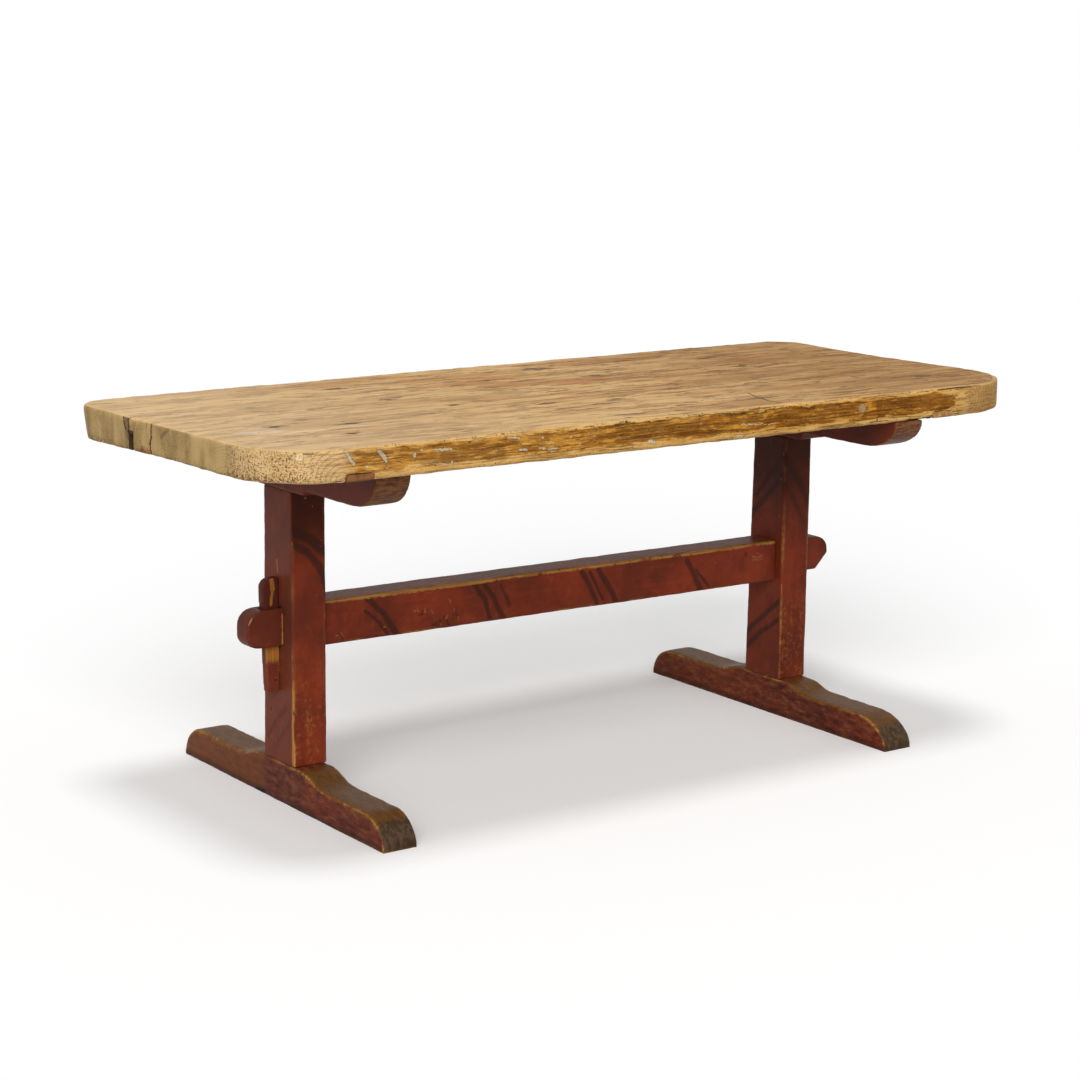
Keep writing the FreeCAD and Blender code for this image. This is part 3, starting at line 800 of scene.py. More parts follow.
def left_end_marks(f, wood, pores):
    """Cracks by the seams of the left end, the stains beside them and the rotten crumbs low down."""
    left = f.fade(f.x, -0.80, -0.86)
    on_end = f.vector("MULTIPLY", f.swayed((140, 140, 140), 3.0, 0.6, 10.5, 0.010), ON_X_FACE)
    smears = f.fade(f.strokes(on_end, laid(END_SMEARS, "x")), 0.0, 0.55)
    wood = f.mix(f.times(smears, left, 0.72), wood, tone(116, 86, 70))
    crumbs = f.fade(f.stroke(on_end, *END_CRUMBS), 0.0, 0.5)
    low = f.fade(f.z, UNDERSIDE + 0.012, UNDERSIDE)
    wood = f.mix(f.times(crumbs, left, 0.62), wood, tone(158, 98, 46))
    rotten = f.times(f.most(crumbs, f.times(low, 0.7)), f.fade(pores, 0.48, 0.56), left)
    wood = f.mix(f.times(rotten, 0.85), wood, tone(84, 54, 28))
    depth = f.broken(f.strokes(on_end, laid(END_CRACKS, "x")), f.math("SUBTRACT", pores, 0.5), 4.0)
    return f.mix(f.times(f.fade(depth, 0.12, 0.50), left, 0.92), wood, tone(40, 26, 15))


# The varnish on the front edge stops short of the corners
VARNISH_LEFT = -0.775
VARNISH_RIGHT = 0.690
VARNISH_LOW = 0.7040
VARNISH_HIGH = 0.7415

# Where the worm pits of the front left corner end
WORM_RIGHT = -0.815

# Cracks in the front board, from place to place, with their half width
CRACKS = (
    ((0.264, -0.241, 0.750), (0.243, -0.293, 0.750), 0.0020),
    ((0.243, -0.293, 0.750), (0.230, -0.348, 0.750), 0.0028),
    ((0.230, -0.348, 0.750), (0.233, -0.381, 0.750), 0.0026),
    ((0.233, -0.381, 0.750), (0.240, -0.396, 0.744), 0.0020),
    ((0.580, -0.396, 0.7475), (0.752, -0.395, 0.7485), 0.0024),
    ((0.612, -0.396, 0.693), (0.640, -0.396, 0.701), 0.0014),
    ((0.700, -0.396, 0.695), (0.612, -0.396, 0.691), 0.0012),
    ((-0.800, -0.388, 0.692), (-0.759, -0.396, 0.694), 0.0012),
    ((-0.707, -0.396, 0.706), (-0.706, -0.396, 0.690), 0.0018),
    ((-0.842, -0.3667, 0.7435), (-0.818, -0.3810, 0.7430), 0.0011),
)

# Stretches of the front edge where the varnish is darkest, from place to place with half width and strength
EDGE_STAINS = (
    (((-0.160, 0, 0.724), (0.060, 0, 0.720)), 0.022, 0.8),
    (((0.225, 0, 0.724), (0.345, 0, 0.718)), 0.026, 1.0),
    (((0.380, 0, 0.722), (0.420, 0, 0.722)), 0.020, 0.8),
    (((0.505, 0, 0.722), (0.675, 0, 0.719)), 0.026, 1.0),
    (((-0.560, 0, 0.716), (-0.440, 0, 0.716)), 0.018, 0.8),
    (((0.476, 0, 0.735), (0.480, 0, 0.702)), 0.012, 1.0),
    (((0.428, 0, 0.727), (0.432, 0, 0.724)), 0.021, 1.0),
)

# Places that the grain curls round on the two front corners, as (x, z), and the spacing of its lines
LEFT_CURL = (-0.768, 0.693, 0.0086)
RIGHT_CURL = (0.722, 0.722, 0.0090)

# Dark line that follows the upper arris of the front edge for part of its length
ARRIS_LINE = 0.7428
ARRIS_LINE_LEFT = -0.33
ARRIS_LINE_RIGHT = 0.36

# Stretch of the lower arris of the front edge that is chipped, with its level, where painted shade darkens
# the chip
CHIPPED_LEFT = 0.540
CHIPPED_RIGHT = 0.640
CHIPPED_LEVEL = 0.6965


def front_edge_marks(f, wood, height, roughness, stain, colours):
    """Varnish, grain lines, cracks, paint flecks and worm pits on the front edge and its corners."""
    front = f.fade(f.facing_y, -0.45, -0.80)
    drift = f.math("SUBTRACT", f.cloud((9, 9, 9), 3, 0.55, 10.6), 0.5)
    waved = f.gather(f.x, f.y, f.math("MULTIPLY_ADD", drift, 0.012, f.z))
    body = f.cloud((20, 30, 80), 6, 0.74, 11.0, waved)
    line = f.cloud((11, 40, 400), 4, 0.70, 12.0, waved)
    ragged = f.math("SUBTRACT", f.cloud((24, 60, 85), 5, 0.72, 13.0), 0.5)
    level = f.math("MULTIPLY_ADD", ragged, 0.026, f.z)
    reach = f.math("MULTIPLY_ADD", ragged, 0.080, f.x)
    tongue = f.math("SUBTRACT", level, (VARNISH_LOW + VARNISH_HIGH) / 2)
    reach = f.math("MULTIPLY_ADD", f.times(tongue, tongue), 90.0, reach)
    coat = f.times(f.fade(level, VARNISH_LOW - 0.002, VARNISH_LOW + 0.002),
                   f.fade(level, VARNISH_HIGH + 0.002, VARNISH_HIGH - 0.002),
                   f.fade(reach, VARNISH_LEFT - 0.02, VARNISH_LEFT + 0.02),
                   f.fade(reach, VARNISH_RIGHT + 0.005, VARNISH_RIGHT - 0.003), front)
    rightward = f.fade(f.x, -0.75, 0.30)
    honey = f.mix(f.fade(body, 0.40, 0.60), tone(226, 178, 104), tone(202, 148, 68))
    wood = f.mix(f.times(front, 0.80), wood, honey)
    amber = f.mix(f.fade(body, 0.46, 0.55), tone(203, 139, 47), colours.varnish)
    dark = f.cloud((15, 30, 62), 6, 0.74, 14.0, waved)
    on_edge = f.vector("MULTIPLY", f.place, ON_Y_FACE)
    stains = f.fade(f.strokes(on_edge, EDGE_STAINS), 0.0, 0.5)
    darkest = f.most(f.times(f.fade(dark, 0.50, 0.55), f.math("MULTIPLY_ADD", rightward, 0.35, 0.55)),
                     f.times(f.fade(dark, 0.40, 0.47), stains))
    amber = f.mix(f.times(darkest, 0.85), amber, tone(118, 66, 4))
    holes = f.fade(f.math("MULTIPLY_ADD", rightward, 0.07, body), 0.37, 0.44)
    covered = f.times(coat, holes, f.math("MULTIPLY_ADD", rightward, 0.20, 0.74))
    wood = f.mix(covered, wood, amber)
    marked = f.times(front, f.math("MULTIPLY_ADD", rightward, 0.35, 0.40))
    wood = f.mix(f.times(f.fade(line, 0.54, 0.60), marked), wood, tone(98, 56, 10))
    wood = f.mix(f.times(f.fade(line, 0.42, 0.36), marked, 0.40), wood, tone(224, 176, 96))
    along = f.size(f.math("SUBTRACT", f.math("MULTIPLY_ADD", drift, 0.016, level), ARRIS_LINE))
    edge_line = f.times(f.fade(along, 0.0016, 0.0005),
                        f.fade(f.x, ARRIS_LINE_LEFT, ARRIS_LINE_LEFT + 0.12),
                        f.fade(f.x, ARRIS_LINE_RIGHT, ARRIS_LINE_RIGHT - 0.06),
                        f.fade(body, 0.40, 0.50), front)
    wood = f.mix(f.times(edge_line, 0.80), wood, tone(86, 44, 14))

    # Small dark pits, most of them along the two arrises
    speck = f.cloud((250, 250, 250), 2, 0.5, 14.5)
    specked = f.most(f.times(f.fade(f.arris, 0.010, 0.002), 0.075), f.times(f.fade(dark, 0.46, 0.56), 0.045))
    dots = f.times(f.fade(f.math("ADD", speck, specked), 0.715, 0.745), f.fade(f.y, -0.375, -0.390))
    wood = f.mix(f.times(dots, 0.85), wood, tone(62, 36, 14))

    # Rough end grain on the two front corners, with worm pits close together low down on the left one
    upright = f.fade(f.size(f.facing_z), 0.75, 0.45)
    left_corner = f.times(f.fade(f.x, -0.735, -0.780), f.fade(f.y, -0.22, -0.28), upright)
    right_corner = f.times(f.fade(f.x, 0.700, 0.730), f.fade(f.y, -0.22, -0.28), upright)
    corner = f.most(left_corner, right_corner)
    pale = f.mix(f.fade(body, 0.35, 0.65), tone(231, 195, 141), tone(211, 173, 119))
    pale = f.mix(right_corner, pale, f.mix(f.fade(stain, 0.38, 0.62), tone(184, 144, 88), tone(166, 126, 74)))
    wood = f.mix(f.times(corner, 0.80), wood, pale)
    left_curl = f.times(f.curl(*LEFT_CURL, drift), left_corner, f.fade(f.x, -0.840, -0.805))
    right_curl = f.times(f.curl(*RIGHT_CURL, drift), right_corner, f.fade(f.x, 0.860, 0.820))
    wood = f.mix(f.times(f.most(left_curl, right_curl), 0.46), wood, tone(138, 92, 46))
    worm, spread = f.cells((330, 330, 330), 15.0)
    low = f.fade(f.z, TABLE_TOP - 0.005, UNDERSIDE + 0.004)
    wormed = f.times(f.fade(f.x, WORM_RIGHT + 0.04, WORM_RIGHT - 0.02), f.fade(f.y, -0.20, -0.27), upright)
    pits = f.times(f.fade(worm, 0.44, 0.28),
                   f.fade(f.math("MULTIPLY_ADD", low, 0.25, spread), 0.42, 0.50), wormed)
    wood = f.mix(f.times(pits, f.math("MULTIPLY_ADD", low, 0.42, 0.32)), wood, tone(128, 82, 38))
    crumble = f.cloud((270, 270, 210), 3, 0.6, 15.5)
    lowest = f.fade(f.z, UNDERSIDE + 0.020, UNDERSIDE)
    rotten = f.times(f.fade(f.math("MULTIPLY_ADD", lowest, 0.12, crumble), 0.57, 0.63),
                     f.fade(f.x, -0.820, -0.850), wormed)
    wood = f.mix(f.times(rotten, 0.80), wood, tone(96, 54, 24))

    # Cracks, and painted shade in the chipped lower arris
    splits = f.deepest(f.stroke(f.place, *crack) for crack in CRACKS)
    splits = f.fade(f.math("MULTIPLY_ADD", ragged, 0.9, splits), 0.10, 0.45)
    # Painted shade: the chipped stretch of the lower arris is darkened
    chip_shade = f.times(f.fade(f.x, CHIPPED_LEFT, CHIPPED_LEFT + 0.020),
                      f.fade(f.x, CHIPPED_RIGHT, CHIPPED_RIGHT - 0.025),
                      f.fade(level, CHIPPED_LEVEL, CHIPPED_LEVEL - 0.003))
    wood = f.mix(f.times(f.most(splits, chip_shade), 0.85), wood, tone(58, 38, 20))

    # Flecks of old white paint, ragged and thin
    on_face = f.vector("MULTIPLY", f.swayed((120, 120, 120), 3.0, 0.6, 16.0, 0.009), ON_Y_FACE)
    marks = f.deepest(f.stroke(on_face, *flat((start, end), "y"), width * FLECK_SPREAD)
                      for start, end, width in FLECKS)
    grain = f.math("SUBTRACT", f.cloud((200, 200, 200), 2, 0.6, 17.0), 0.5)
    paint = f.broken(marks, grain, 3.0)
    wood = f.mix(f.times(f.fade(paint, 0.02, 0.20), front, 0.50), wood, tone(112, 74, 30))
    flecks = f.fade(paint, 0.30, 0.48)
    spot, chance = f.cells((46, 46, 70), 18.0)
    spots = f.times(f.fade(spot, 0.17, 0.10), f.fade(chance, 0.74, 0.78), f.fade(f.x, 0.30, -0.35), coat)
    white = f.times(f.most(flecks, spots), front)
    wood = f.mix(f.times(white, 0.80), wood, tone(210, 198, 168))

    height = f.math("MULTIPLY_ADD", f.most(pits, dots), -1.6, height)
    height = f.math("MULTIPLY_ADD", splits, -1.5, height)
    height = f.math("MULTIPLY_ADD", f.times(f.fade(line, 0.54, 0.60), front), -0.5, height)
    height = f.math("MULTIPLY_ADD", edge_line, -0.8, height)
    height = f.math("MULTIPLY_ADD", white, 0.25, height)
    roughness = f.math("MULTIPLY_ADD", coat, -0.14, roughness)
    return wood, height, roughness


def key_pine():
    """Pine of the two keys: the left one's end is browner, the right one's as pale as the edge."""
    f = Finish("key_pine", 12.5)
    fibre = f.cloud((260, 6, 260), 4, 0.6)
    shade = f.cloud((60, 60, 60), 3, 0.6, 1.0)
    wood = f.mix(f.fade(fibre, 0.35, 0.68), tone(206, 164, 108), tone(172, 126, 74))
    brown = f.mix(f.fade(shade, 0.40, 0.62), tone(134, 84, 44), tone(88, 50, 26))
    ends = f.fade(f.y, -0.34, -0.37)
    left = f.fade(f.x, 0.1, -0.1)
    wood = f.mix(f.times(left, ends, 0.88), wood, brown)
    tan = f.mix(f.fade(shade, 0.42, 0.60), tone(196, 152, 92), tone(150, 108, 58))
    wood = f.mix(f.times(f.less(left), ends, 0.95), wood, tan)
    outline = f.math("MULTIPLY_ADD", left, 0.40, 0.20)
    wood = f.mix(f.times(f.fade(f.arris, 0.0030, 0.0), outline), wood, tone(96, 62, 32))
    return f.finish(wood, f.math("MULTIPLY_ADD", fibre, 0.2, 0.55), fibre, 0.0008, gloss=0.16)


def peg_wood():
    """End grain of the pegs in the front edge: one pale, one grey."""
    f = Finish("peg_end_grain", 4.0)
    speck = f.cloud((190, 190, 190), 3, 0.6)
    ring = f.cloud((420, 60, 420), 2, 0.5, 1.0)
    grey_one = f.fade(f.x, -0.1, 0.1)
    wood = f.mix(grey_one, tone(240, 208, 154), tone(166, 136, 90))
    wood = f.mix(f.times(f.fade(speck, 0.45, 0.70), 0.5), wood, tone(120, 90, 54))
    wood = f.mix(f.times(f.fade(ring, 0.52, 0.66), 0.35), wood, tone(96, 70, 42))
    rim = f.math("MULTIPLY_ADD", speck, 0.004, f.arris)
    outline = f.math("MULTIPLY_ADD", grey_one, 0.40, 0.42)
    wood = f.mix(f.times(f.fade(rim, 0.0046, 0.0022), outline), wood, tone(84, 54, 26))
    return f.finish(wood, f.math("MULTIPLY_ADD", speck, 0.2, 0.55), speck, 0.0008, gloss=0.28)


def raw_pine():
    """Clean pine of the dowels, pins and small wedges inside the joints."""
    f = Finish("raw_pine", 2.0)
    fibre = f.cloud((240, 240, 12), 4, 0.6)
    shade = f.cloud((14, 14, 5), 3, 0.5, 1.0)
    ends = f.cloud((300, 300, 300), 3, 0.6, 2.0)
    wood = f.mix(f.fade(fibre, 0.35, 0.70), tone(214, 176, 122), tone(178, 134, 82))
    wood = f.mix(f.times(f.fade(shade, 0.45, 0.75), 0.5), wood, tone(150, 108, 66))
    pores = f.times(f.fade(f.size(f.facing_z), 0.6, 0.9), f.fade(ends, 0.5, 0.7))
    wood = f.mix(f.times(pores, 0.6), wood, tone(120, 84, 48))
    return f.finish(wood, f.math("MULTIPLY_ADD", fibre, 0.2, 0.55), fibre, 0.0006, gloss=0.3)


def red_paint(name, seed, grain, front=(), side=(), bare_front=(), bare_side=(), worn_lines=(), wear=1.0,
              side_sheen=0.15, bare_wood=None, extra=None):
    """Old red paint with dark brush strokes, rubbed through to ochre wood along the arrises."""
    colours = bpy.context.scene.trestle_table_base
    f = Finish(name, seed)
    axis = ALONG[grain]
    cloud = f.cloud((6, 6, 6), 4, 0.6)
    brush = f.cloud(drawn_out(axis, 9, 75), 5, 0.68, 1.0)
    fibre = f.cloud(drawn_out(axis, 12, 420), 3, 0.6, 2.0)
    grit = f.cloud((120, 120, 120), 3, 0.6, 3.0)
    drift = f.cloud(drawn_out(axis, 9, 18), 3, 0.6, 4.0)
    nick = f.cloud(drawn_out(axis, 40, 95), 2, 0.5, 5.0)

    coat = f.mix(f.fade(cloud, 0.36, 0.66), colours.paint, colours.dull)
    coat = f.mix(f.times(f.fade(brush, 0.54, 0.68), 0.16), coat, tone(142, 70, 36))
    coat = f.mix(f.times(f.fade(brush, 0.46, 0.32), 0.26), coat, tone(66, 30, 19))
    blot = f.cloud((34, 34, 34), 4, 0.65, 3.5)
    coat = f.mix(f.times(f.fade(blot, 0.52, 0.64), 0.30), coat, tone(82, 34, 24))
    coat = f.mix(f.times(f.fade(blot, 0.42, 0.34), 0.22), coat, tone(146, 66, 38))
    # Painted sheen: faces that look along X are made greyer brown where light glances off them
    coat = f.mix(f.times(f.fade(f.size(f.facing_x), 0.5, 0.8), side_sheen), coat, tone(88, 56, 42))

    # Dark strokes, dragged and thin at their edges
    dragged = f.math("SUBTRACT", brush, 0.5)
    hand_place = f.swayed((22, 22, 22), 2.0, 0.5, 6.0, 0.008)
    faces = (
        ("y", front, bare_front, f.fade(f.size(f.facing_y), 0.55, 0.80), ON_Y_FACE),
        ("x", side, bare_side, f.fade(f.size(f.facing_x), 0.55, 0.80), ON_X_FACE),
    )
    bare = 0.0
    for across, strokes, streaks, facing, keep in faces:
        on_face = f.vector("MULTIPLY", hand_place, keep)
        if strokes:
            depth = f.broken(f.strokes(on_face, laid(strokes, across)), dragged, 1.5)
            coat = f.mix(f.times(f.fade(depth, 0.04, 0.70), facing, 0.80), coat, colours.stroke)
        if streaks:
            depth = f.broken(f.strokes(on_face, laid(streaks, across)), dragged, 2.0)
            bare = f.most(f.times(f.fade(depth, 0.08, 0.60), facing), bare)

    if extra:
        coat = extra(f, coat, cloud, brush, grit)

    # Arrises rubbed to bare wood, more in some stretches than in others
    rough_edge = f.math("SUBTRACT", grit, 0.5)
    worn = colours.worn * wear
    width = f.math("MULTIPLY_ADD", f.fade(drift, 0.40, 0.66), worn * 1.6, worn * 0.25)
    share = f.math("DIVIDE", f.arris, width)
    rubbed = f.math("MULTIPLY_ADD", rough_edge, 1.7, share)
    coat = f.mix(f.times(f.fade(share, 3.4, 0.5), 0.40), coat, tone(120, 76, 40))
    bare = f.most(bare, f.fade(rubbed, 1.0, 0.5))
    if worn_lines:
        lines = f.deepest(f.stroke(f.place, *line) for line in worn_lines)
        depth = f.broken(f.broken(lines, rough_edge, 3.2), f.math("SUBTRACT", drift, 0.5), 4.0)
        bare = f.most(bare, f.fade(depth, 0.14, 0.50))
    ochre = f.mix(f.fade(fibre, 0.35, 0.68), bare_wood or colours.bare, tone(138, 92, 44))
    coat = f.mix(f.times(bare, 0.86), coat, ochre)

    # Small knocks, some dark and some down to pale wood
    knocks = f.fade(nick, 0.71, 0.77)
    struck = f.times(knocks, 0.70)
    beneath = f.mix(f.fade(grit, 0.49, 0.53), tone(34, 20, 14), tone(140, 92, 56))
    coat = f.mix(struck, coat, beneath)

    height = f.math("MULTIPLY_ADD", brush, 0.25, f.times(fibre, 0.25))
    height = f.math("MULTIPLY_ADD", bare, -0.35, height)
    height = f.math("MULTIPLY_ADD", knocks, -0.8, height)
    roughness = f.math("MULTIPLY_ADD", grit, 0.22, 0.34)
    roughness = f.math("MULTIPLY_ADD", bare, 0.12, roughness)
    return f.finish(coat, roughness, height, 0.0007, gloss=0.07)


# Dark brush strokes on the base, as (x, z) or (y, z) places along each stroke, half width and strength
STRETCHER_STROKES = (
    (((-0.500, 0.384), (-0.466, 0.351), (-0.436, 0.305)), 0.0100, 1.0),
    (((-0.507, 0.361), (-0.480, 0.338), (-0.458, 0.311)), 0.0065, 0.8),
    (((-0.253, 0.382), (-0.229, 0.349), (-0.216, 0.308)), 0.0090, 1.0),
    (((-0.230, 0.380), (-0.207, 0.347), (-0.184, 0.305)), 0.0095, 0.95),
    (((-0.191, 0.374), (-0.179, 0.348), (-0.170, 0.330)), 0.0090, 0.60),
    (((0.008, 0.378), (0.028, 0.345), (0.049, 0.308)), 0.0105, 0.80),
    (((0.029, 0.372), (0.046, 0.345), (0.064, 0.314)), 0.0065, 0.80),
    (((0.050, 0.378), (0.074, 0.343), (0.097, 0.305)), 0.0095, 1.0),
    (((0.283, 0.369), (0.303, 0.338), (0.320, 0.303)), 0.0120, 0.9),
    (((0.308, 0.346), (0.324, 0.328), (0.340, 0.308)), 0.0065, 0.8),
)
LEFT_POST_FRONT = (
    (((-0.680, 0.541), (-0.640, 0.520), (-0.600, 0.486)), 0.0160, 1.0),
    (((-0.680, 0.515), (-0.645, 0.495), (-0.621, 0.466), (-0.604, 0.428)), 0.0130, 1.0),
)
LEFT_POST_SIDE = (
    (((-0.030, 0.192), (0.004, 0.160), (0.040, 0.123)), 0.0140, 0.42),
    (((-0.058, 0.178), (-0.020, 0.140), (0.010, 0.108)), 0.0120, 0.34),
    (((0.050, 0.466), (0.010, 0.512), (-0.044, 0.560)), 0.0130, 0.22),
    (((0.050, 0.430), (0.010, 0.474), (-0.030, 0.512)), 0.0110, 0.20),
)
RIGHT_POST_FRONT = (
    (((0.524, 0.570), (0.570, 0.510), (0.608, 0.446)), 0.0180, 0.75),
    (((0.522, 0.526), (0.557, 0.470), (0.584, 0.424)), 0.0130, 0.50),
)
RIGHT_POST_SIDE = (
    (((0.034, 0.473), (-0.006, 0.521), (-0.046, 0.569)), 0.0095, 0.90),
    (((0.050, 0.430), (-0.010, 0.487), (-0.062, 0.535)), 0.0140, 0.80),
    (((0.057, 0.162), (0.006, 0.208), (-0.056, 0.257)), 0.0095, 1.0),
    (((0.057, 0.132), (0.010, 0.170), (-0.056, 0.216)), 0.0090, 1.0),
)

# Arrises rubbed bare along their whole length, from place to place with the rubbed half width
LEFT_POST_WORN = (
    ((-0.679, -0.058, 0.600), (-0.679, -0.058, 0.230), 0.0032),
    ((-0.679, -0.058, 0.230), (-0.679, -0.058, 0.083), 0.0060),
    ((-0.605, -0.058, 0.600), (-0.605, -0.058, 0.280), 0.0026),
    ((-0.605, -0.058, 0.280), (-0.605, -0.058, 0.083), 0.0036),
)
RIGHT_POST_WORN = (
    ((0.527, -0.058, 0.570), (0.527, -0.058, 0.300), 0.0032),
    ((0.527, -0.058, 0.300), (0.527, -0.058, 0.083), 0.0040),
    ((0.601, -0.058, 0.300), (0.601, -0.058, 0.083), 0.0024),
)
STRETCHER_WORN = (
    ((-0.681, -0.023, 0.378), (-0.681, -0.023, 0.316), 0.0021),
    ((-0.744, -0.023, 0.376), (-0.753, -0.023, 0.362), 0.0030),
    ((-0.755, -0.023, 0.352), (-0.755, -0.023, 0.334), 0.0030),
    ((-0.753, -0.023, 0.328), (-0.742, -0.023, 0.315), 0.0034),
    ((-0.605, -0.037, 0.391), (0.527, -0.037, 0.384), 0.0085),
    ((-0.605, 0.037, 0.391), (0.527, 0.037, 0.384), 0.0060),
)

# Knots that show through the stretcher's paint: dark pits, and pale ridges round them
STRETCHER_PITS = (
    (((-0.383, 0.338), (-0.376, 0.338)), 0.0036, 0.9),
    (((-0.367, 0.345), (-0.365, 0.337)), 0.0024, 0.8),
    (((-0.375, 0.345), (-0.375, 0.342)), 0.0026, 0.9),
    (((-0.352, 0.314), (-0.343, 0.314)), 0.0034, 0.8),
    (((-0.335, 0.317), (-0.335, 0.319)), 0.0034, 1.0),
    (((-0.328, 0.321), (-0.325, 0.327)), 0.0024, 0.8),
    (((-0.321, 0.320), (-0.320, 0.316), (-0.314, 0.309)), 0.0030, 1.0),
    (((-0.300, 0.336), (-0.304, 0.318)), 0.0034, 0.6),
    (((-0.296, 0.330), (-0.294, 0.318)), 0.0030, 0.6),
    (((-0.567, 0.324), (-0.560, 0.321), (-0.557, 0.314), (-0.555, 0.307)), 0.0026, 0.9),
    (((0.441, 0.368), (0.442, 0.360)), 0.0034, 0.8),
)
STRETCHER_RIDGES = (
    (((-0.395, 0.347), (-0.393, 0.346)), 0.0026, 0.8),
    (((-0.388, 0.350), (-0.386, 0.345)), 0.0022, 0.7),
    (((-0.372, 0.346), (-0.370, 0.342)), 0.0026, 1.0),
    (((-0.357, 0.343), (-0.351, 0.336)), 0.0022, 0.7),
    (((-0.314, 0.359), (-0.311, 0.353)), 0.0024, 0.8),
    (((-0.302, 0.338), (-0.303, 0.334)), 0.0024, 0.8),
    (((-0.322, 0.323), (-0.317, 0.328)), 0.0020, 0.7),
    (((-0.293, 0.322), (-0.292, 0.316)), 0.0020, 0.7),
    (((-0.335, 0.311), (-0.332, 0.312)), 0.0022, 0.7),
    (((-0.561, 0.324), (-0.556, 0.317)), 0.0020, 0.7),
    (((-0.571, 0.321), (-0.568, 0.321)), 0.0022, 0.7),
    (((0.462, 0.357), (0.475, 0.354), (0.489, 0.357)), 0.0026, 0.8),
    (((0.461, 0.350), (0.477, 0.348), (0.487, 0.350)), 0.0022, 0.6),
    (((0.471, 0.363), (0.482, 0.360)), 0.0020, 0.6),
    (((0.358, 0.355), (0.359, 0.354)), 0.0024, 0.8),
)
KNOT_SPREAD = 1.4

# Streaks where the paint has split off the wood
LEFT_POST_BARE_SIDE = (
    (((-0.002, 0.474), (-0.004, 0.452)), 0.0030, 1.0),
    (((-0.058, 0.216), (-0.053, 0.154), (-0.056, 0.084)), 0.0050, 1.0),
)
LEFT_WEDGE_BARE = (
    (((-0.6945, 0.444), (-0.694, 0.420)), 0.0070, 1.0),
    (((-0.694, 0.420), (-0.696, 0.392)), 0.0040, 1.0),
    (((-0.718, 0.300), (-0.674, 0.294)), 0.0250, 1.0),
)

# Painted shade of a chip out of the left foot's lower outer arris, from place to place with its half width
LEFT_FOOT_CHIP_SHADE = ((0, 0.061, 0.003), (0, 0.090, -0.001), 0.0075)


def tips(f, low_reach, high_reach, start, full):
    """Both ends of a foot or bearer, but not its sides: none at start from a tip, all of it at full."""
    ends = f.most(f.fade(f.y, low_reach + start, low_reach + full),
                  f.fade(f.y, high_reach - start, high_reach - full))
    return f.times(ends, f.fade(f.size(f.facing_x), 0.80, 0.55))


def foot_extra(low_reach, high_reach, back_brown, chip_shade=None):
    """Trodden olive tops, worn upper arrises with a broad painted highlight, dark toe ends and painted shade
    in a chip, for a foot between its two toes' tips.
    """
    def dress(f, coat, cloud, brush, grit):
        colours = bpy.context.scene.trestle_table_base
        scuff = f.cloud((105, 32, 105), 5, 0.74, 21.0)
        coat = f.mix(0.30, coat, tone(90, 42, 35))
        coat = f.mix(f.times(f.fade(scuff, 0.51, 0.60), 0.46), coat, tone(136, 88, 52))
        coat = f.mix(f.times(f.fade(scuff, 0.48, 0.38), 0.66), coat, tone(48, 23, 17))
        brown = f.fade(f.math("MULTIPLY_ADD", cloud, 0.05, f.y), 0.070, 0.095)
        coat = f.mix(f.times(brown, back_brown), coat, tone(112, 66, 32))
        low = f.fade(f.math("MULTIPLY_ADD", grit, 0.016, f.z), 0.026, 0.012)
        coat = f.mix(f.times(low, 0.60), coat, tone(40, 24, 16))

        top = f.fade(f.facing_z, 0.25, 0.70)
        clear_of_post = f.fade(f.size(f.y), 0.066, 0.110)
        trodden = f.mix(f.fade(scuff, 0.40, 0.62), colours.olive, tone(88, 60, 28))
        trodden = f.mix(f.times(f.fade(brush, 0.54, 0.70), 0.5), trodden, tone(142, 104, 50))
        coat = f.mix(f.times(top, f.math("MULTIPLY_ADD", clear_of_post, 0.66, 0.24)), coat, trodden)

        # Upper arrises rubbed to ochre, with a broad painted highlight along them
        worn_highlit_arris = f.fade(f.math("MULTIPLY_ADD", grit, 0.012, f.arris), 0.016, 0.006)
        worn_highlit_arris = f.times(worn_highlit_arris, f.fade(f.z, 0.030, 0.045), f.fade(scuff, 0.40, 0.54))
        rubbed = f.mix(f.fade(grit, 0.44, 0.60), tone(150, 104, 46), colours.olive)
        coat = f.mix(f.times(worn_highlit_arris, clear_of_post, 0.44), coat, rubbed)

        ends = tips(f, low_reach, high_reach, 0.040, 0.022)
        grained = f.cloud((150, 150, 34), 4, 0.65, 22.0)
        grey = f.mix(f.fade(grained, 0.42, 0.60), colours.toe, tone(84, 68, 50))
        coat = f.mix(f.times(ends, 0.92), coat, grey)
        # Painted shade: a near-black mark where a chip is gone from the lower outer arris
        if chip_shade:
            gap_shade = f.fade(f.stroke(f.vector("MULTIPLY", f.place, ON_X_FACE), *chip_shade), 0.05, 0.30)
            coat = f.mix(f.times(gap_shade, f.fade(f.facing_x, -0.40, -0.80)), coat, tone(16, 11, 8))
        return coat
    return dress


def bearer_extra(low_reach, high_reach):
    """Painted shade over the whole bearer, which stands under the top, and dark end grain on its noses."""
    def dress(f, coat, cloud, brush, grit):
        ends = tips(f, low_reach, high_reach, 0.085, 0.055)
        # Painted shade: the whole bearer is darkened because it stands in the top's shade
        coat = f.mix(0.30, coat, tone(50, 30, 20))
        grained = f.cloud((40, 150, 150), 4, 0.65, 22.0)
        grey = f.mix(f.fade(grained, 0.42, 0.60), tone(128, 88, 54), tone(90, 56, 36))
        return f.mix(f.times(ends, 0.85), coat, grey)
    return dress


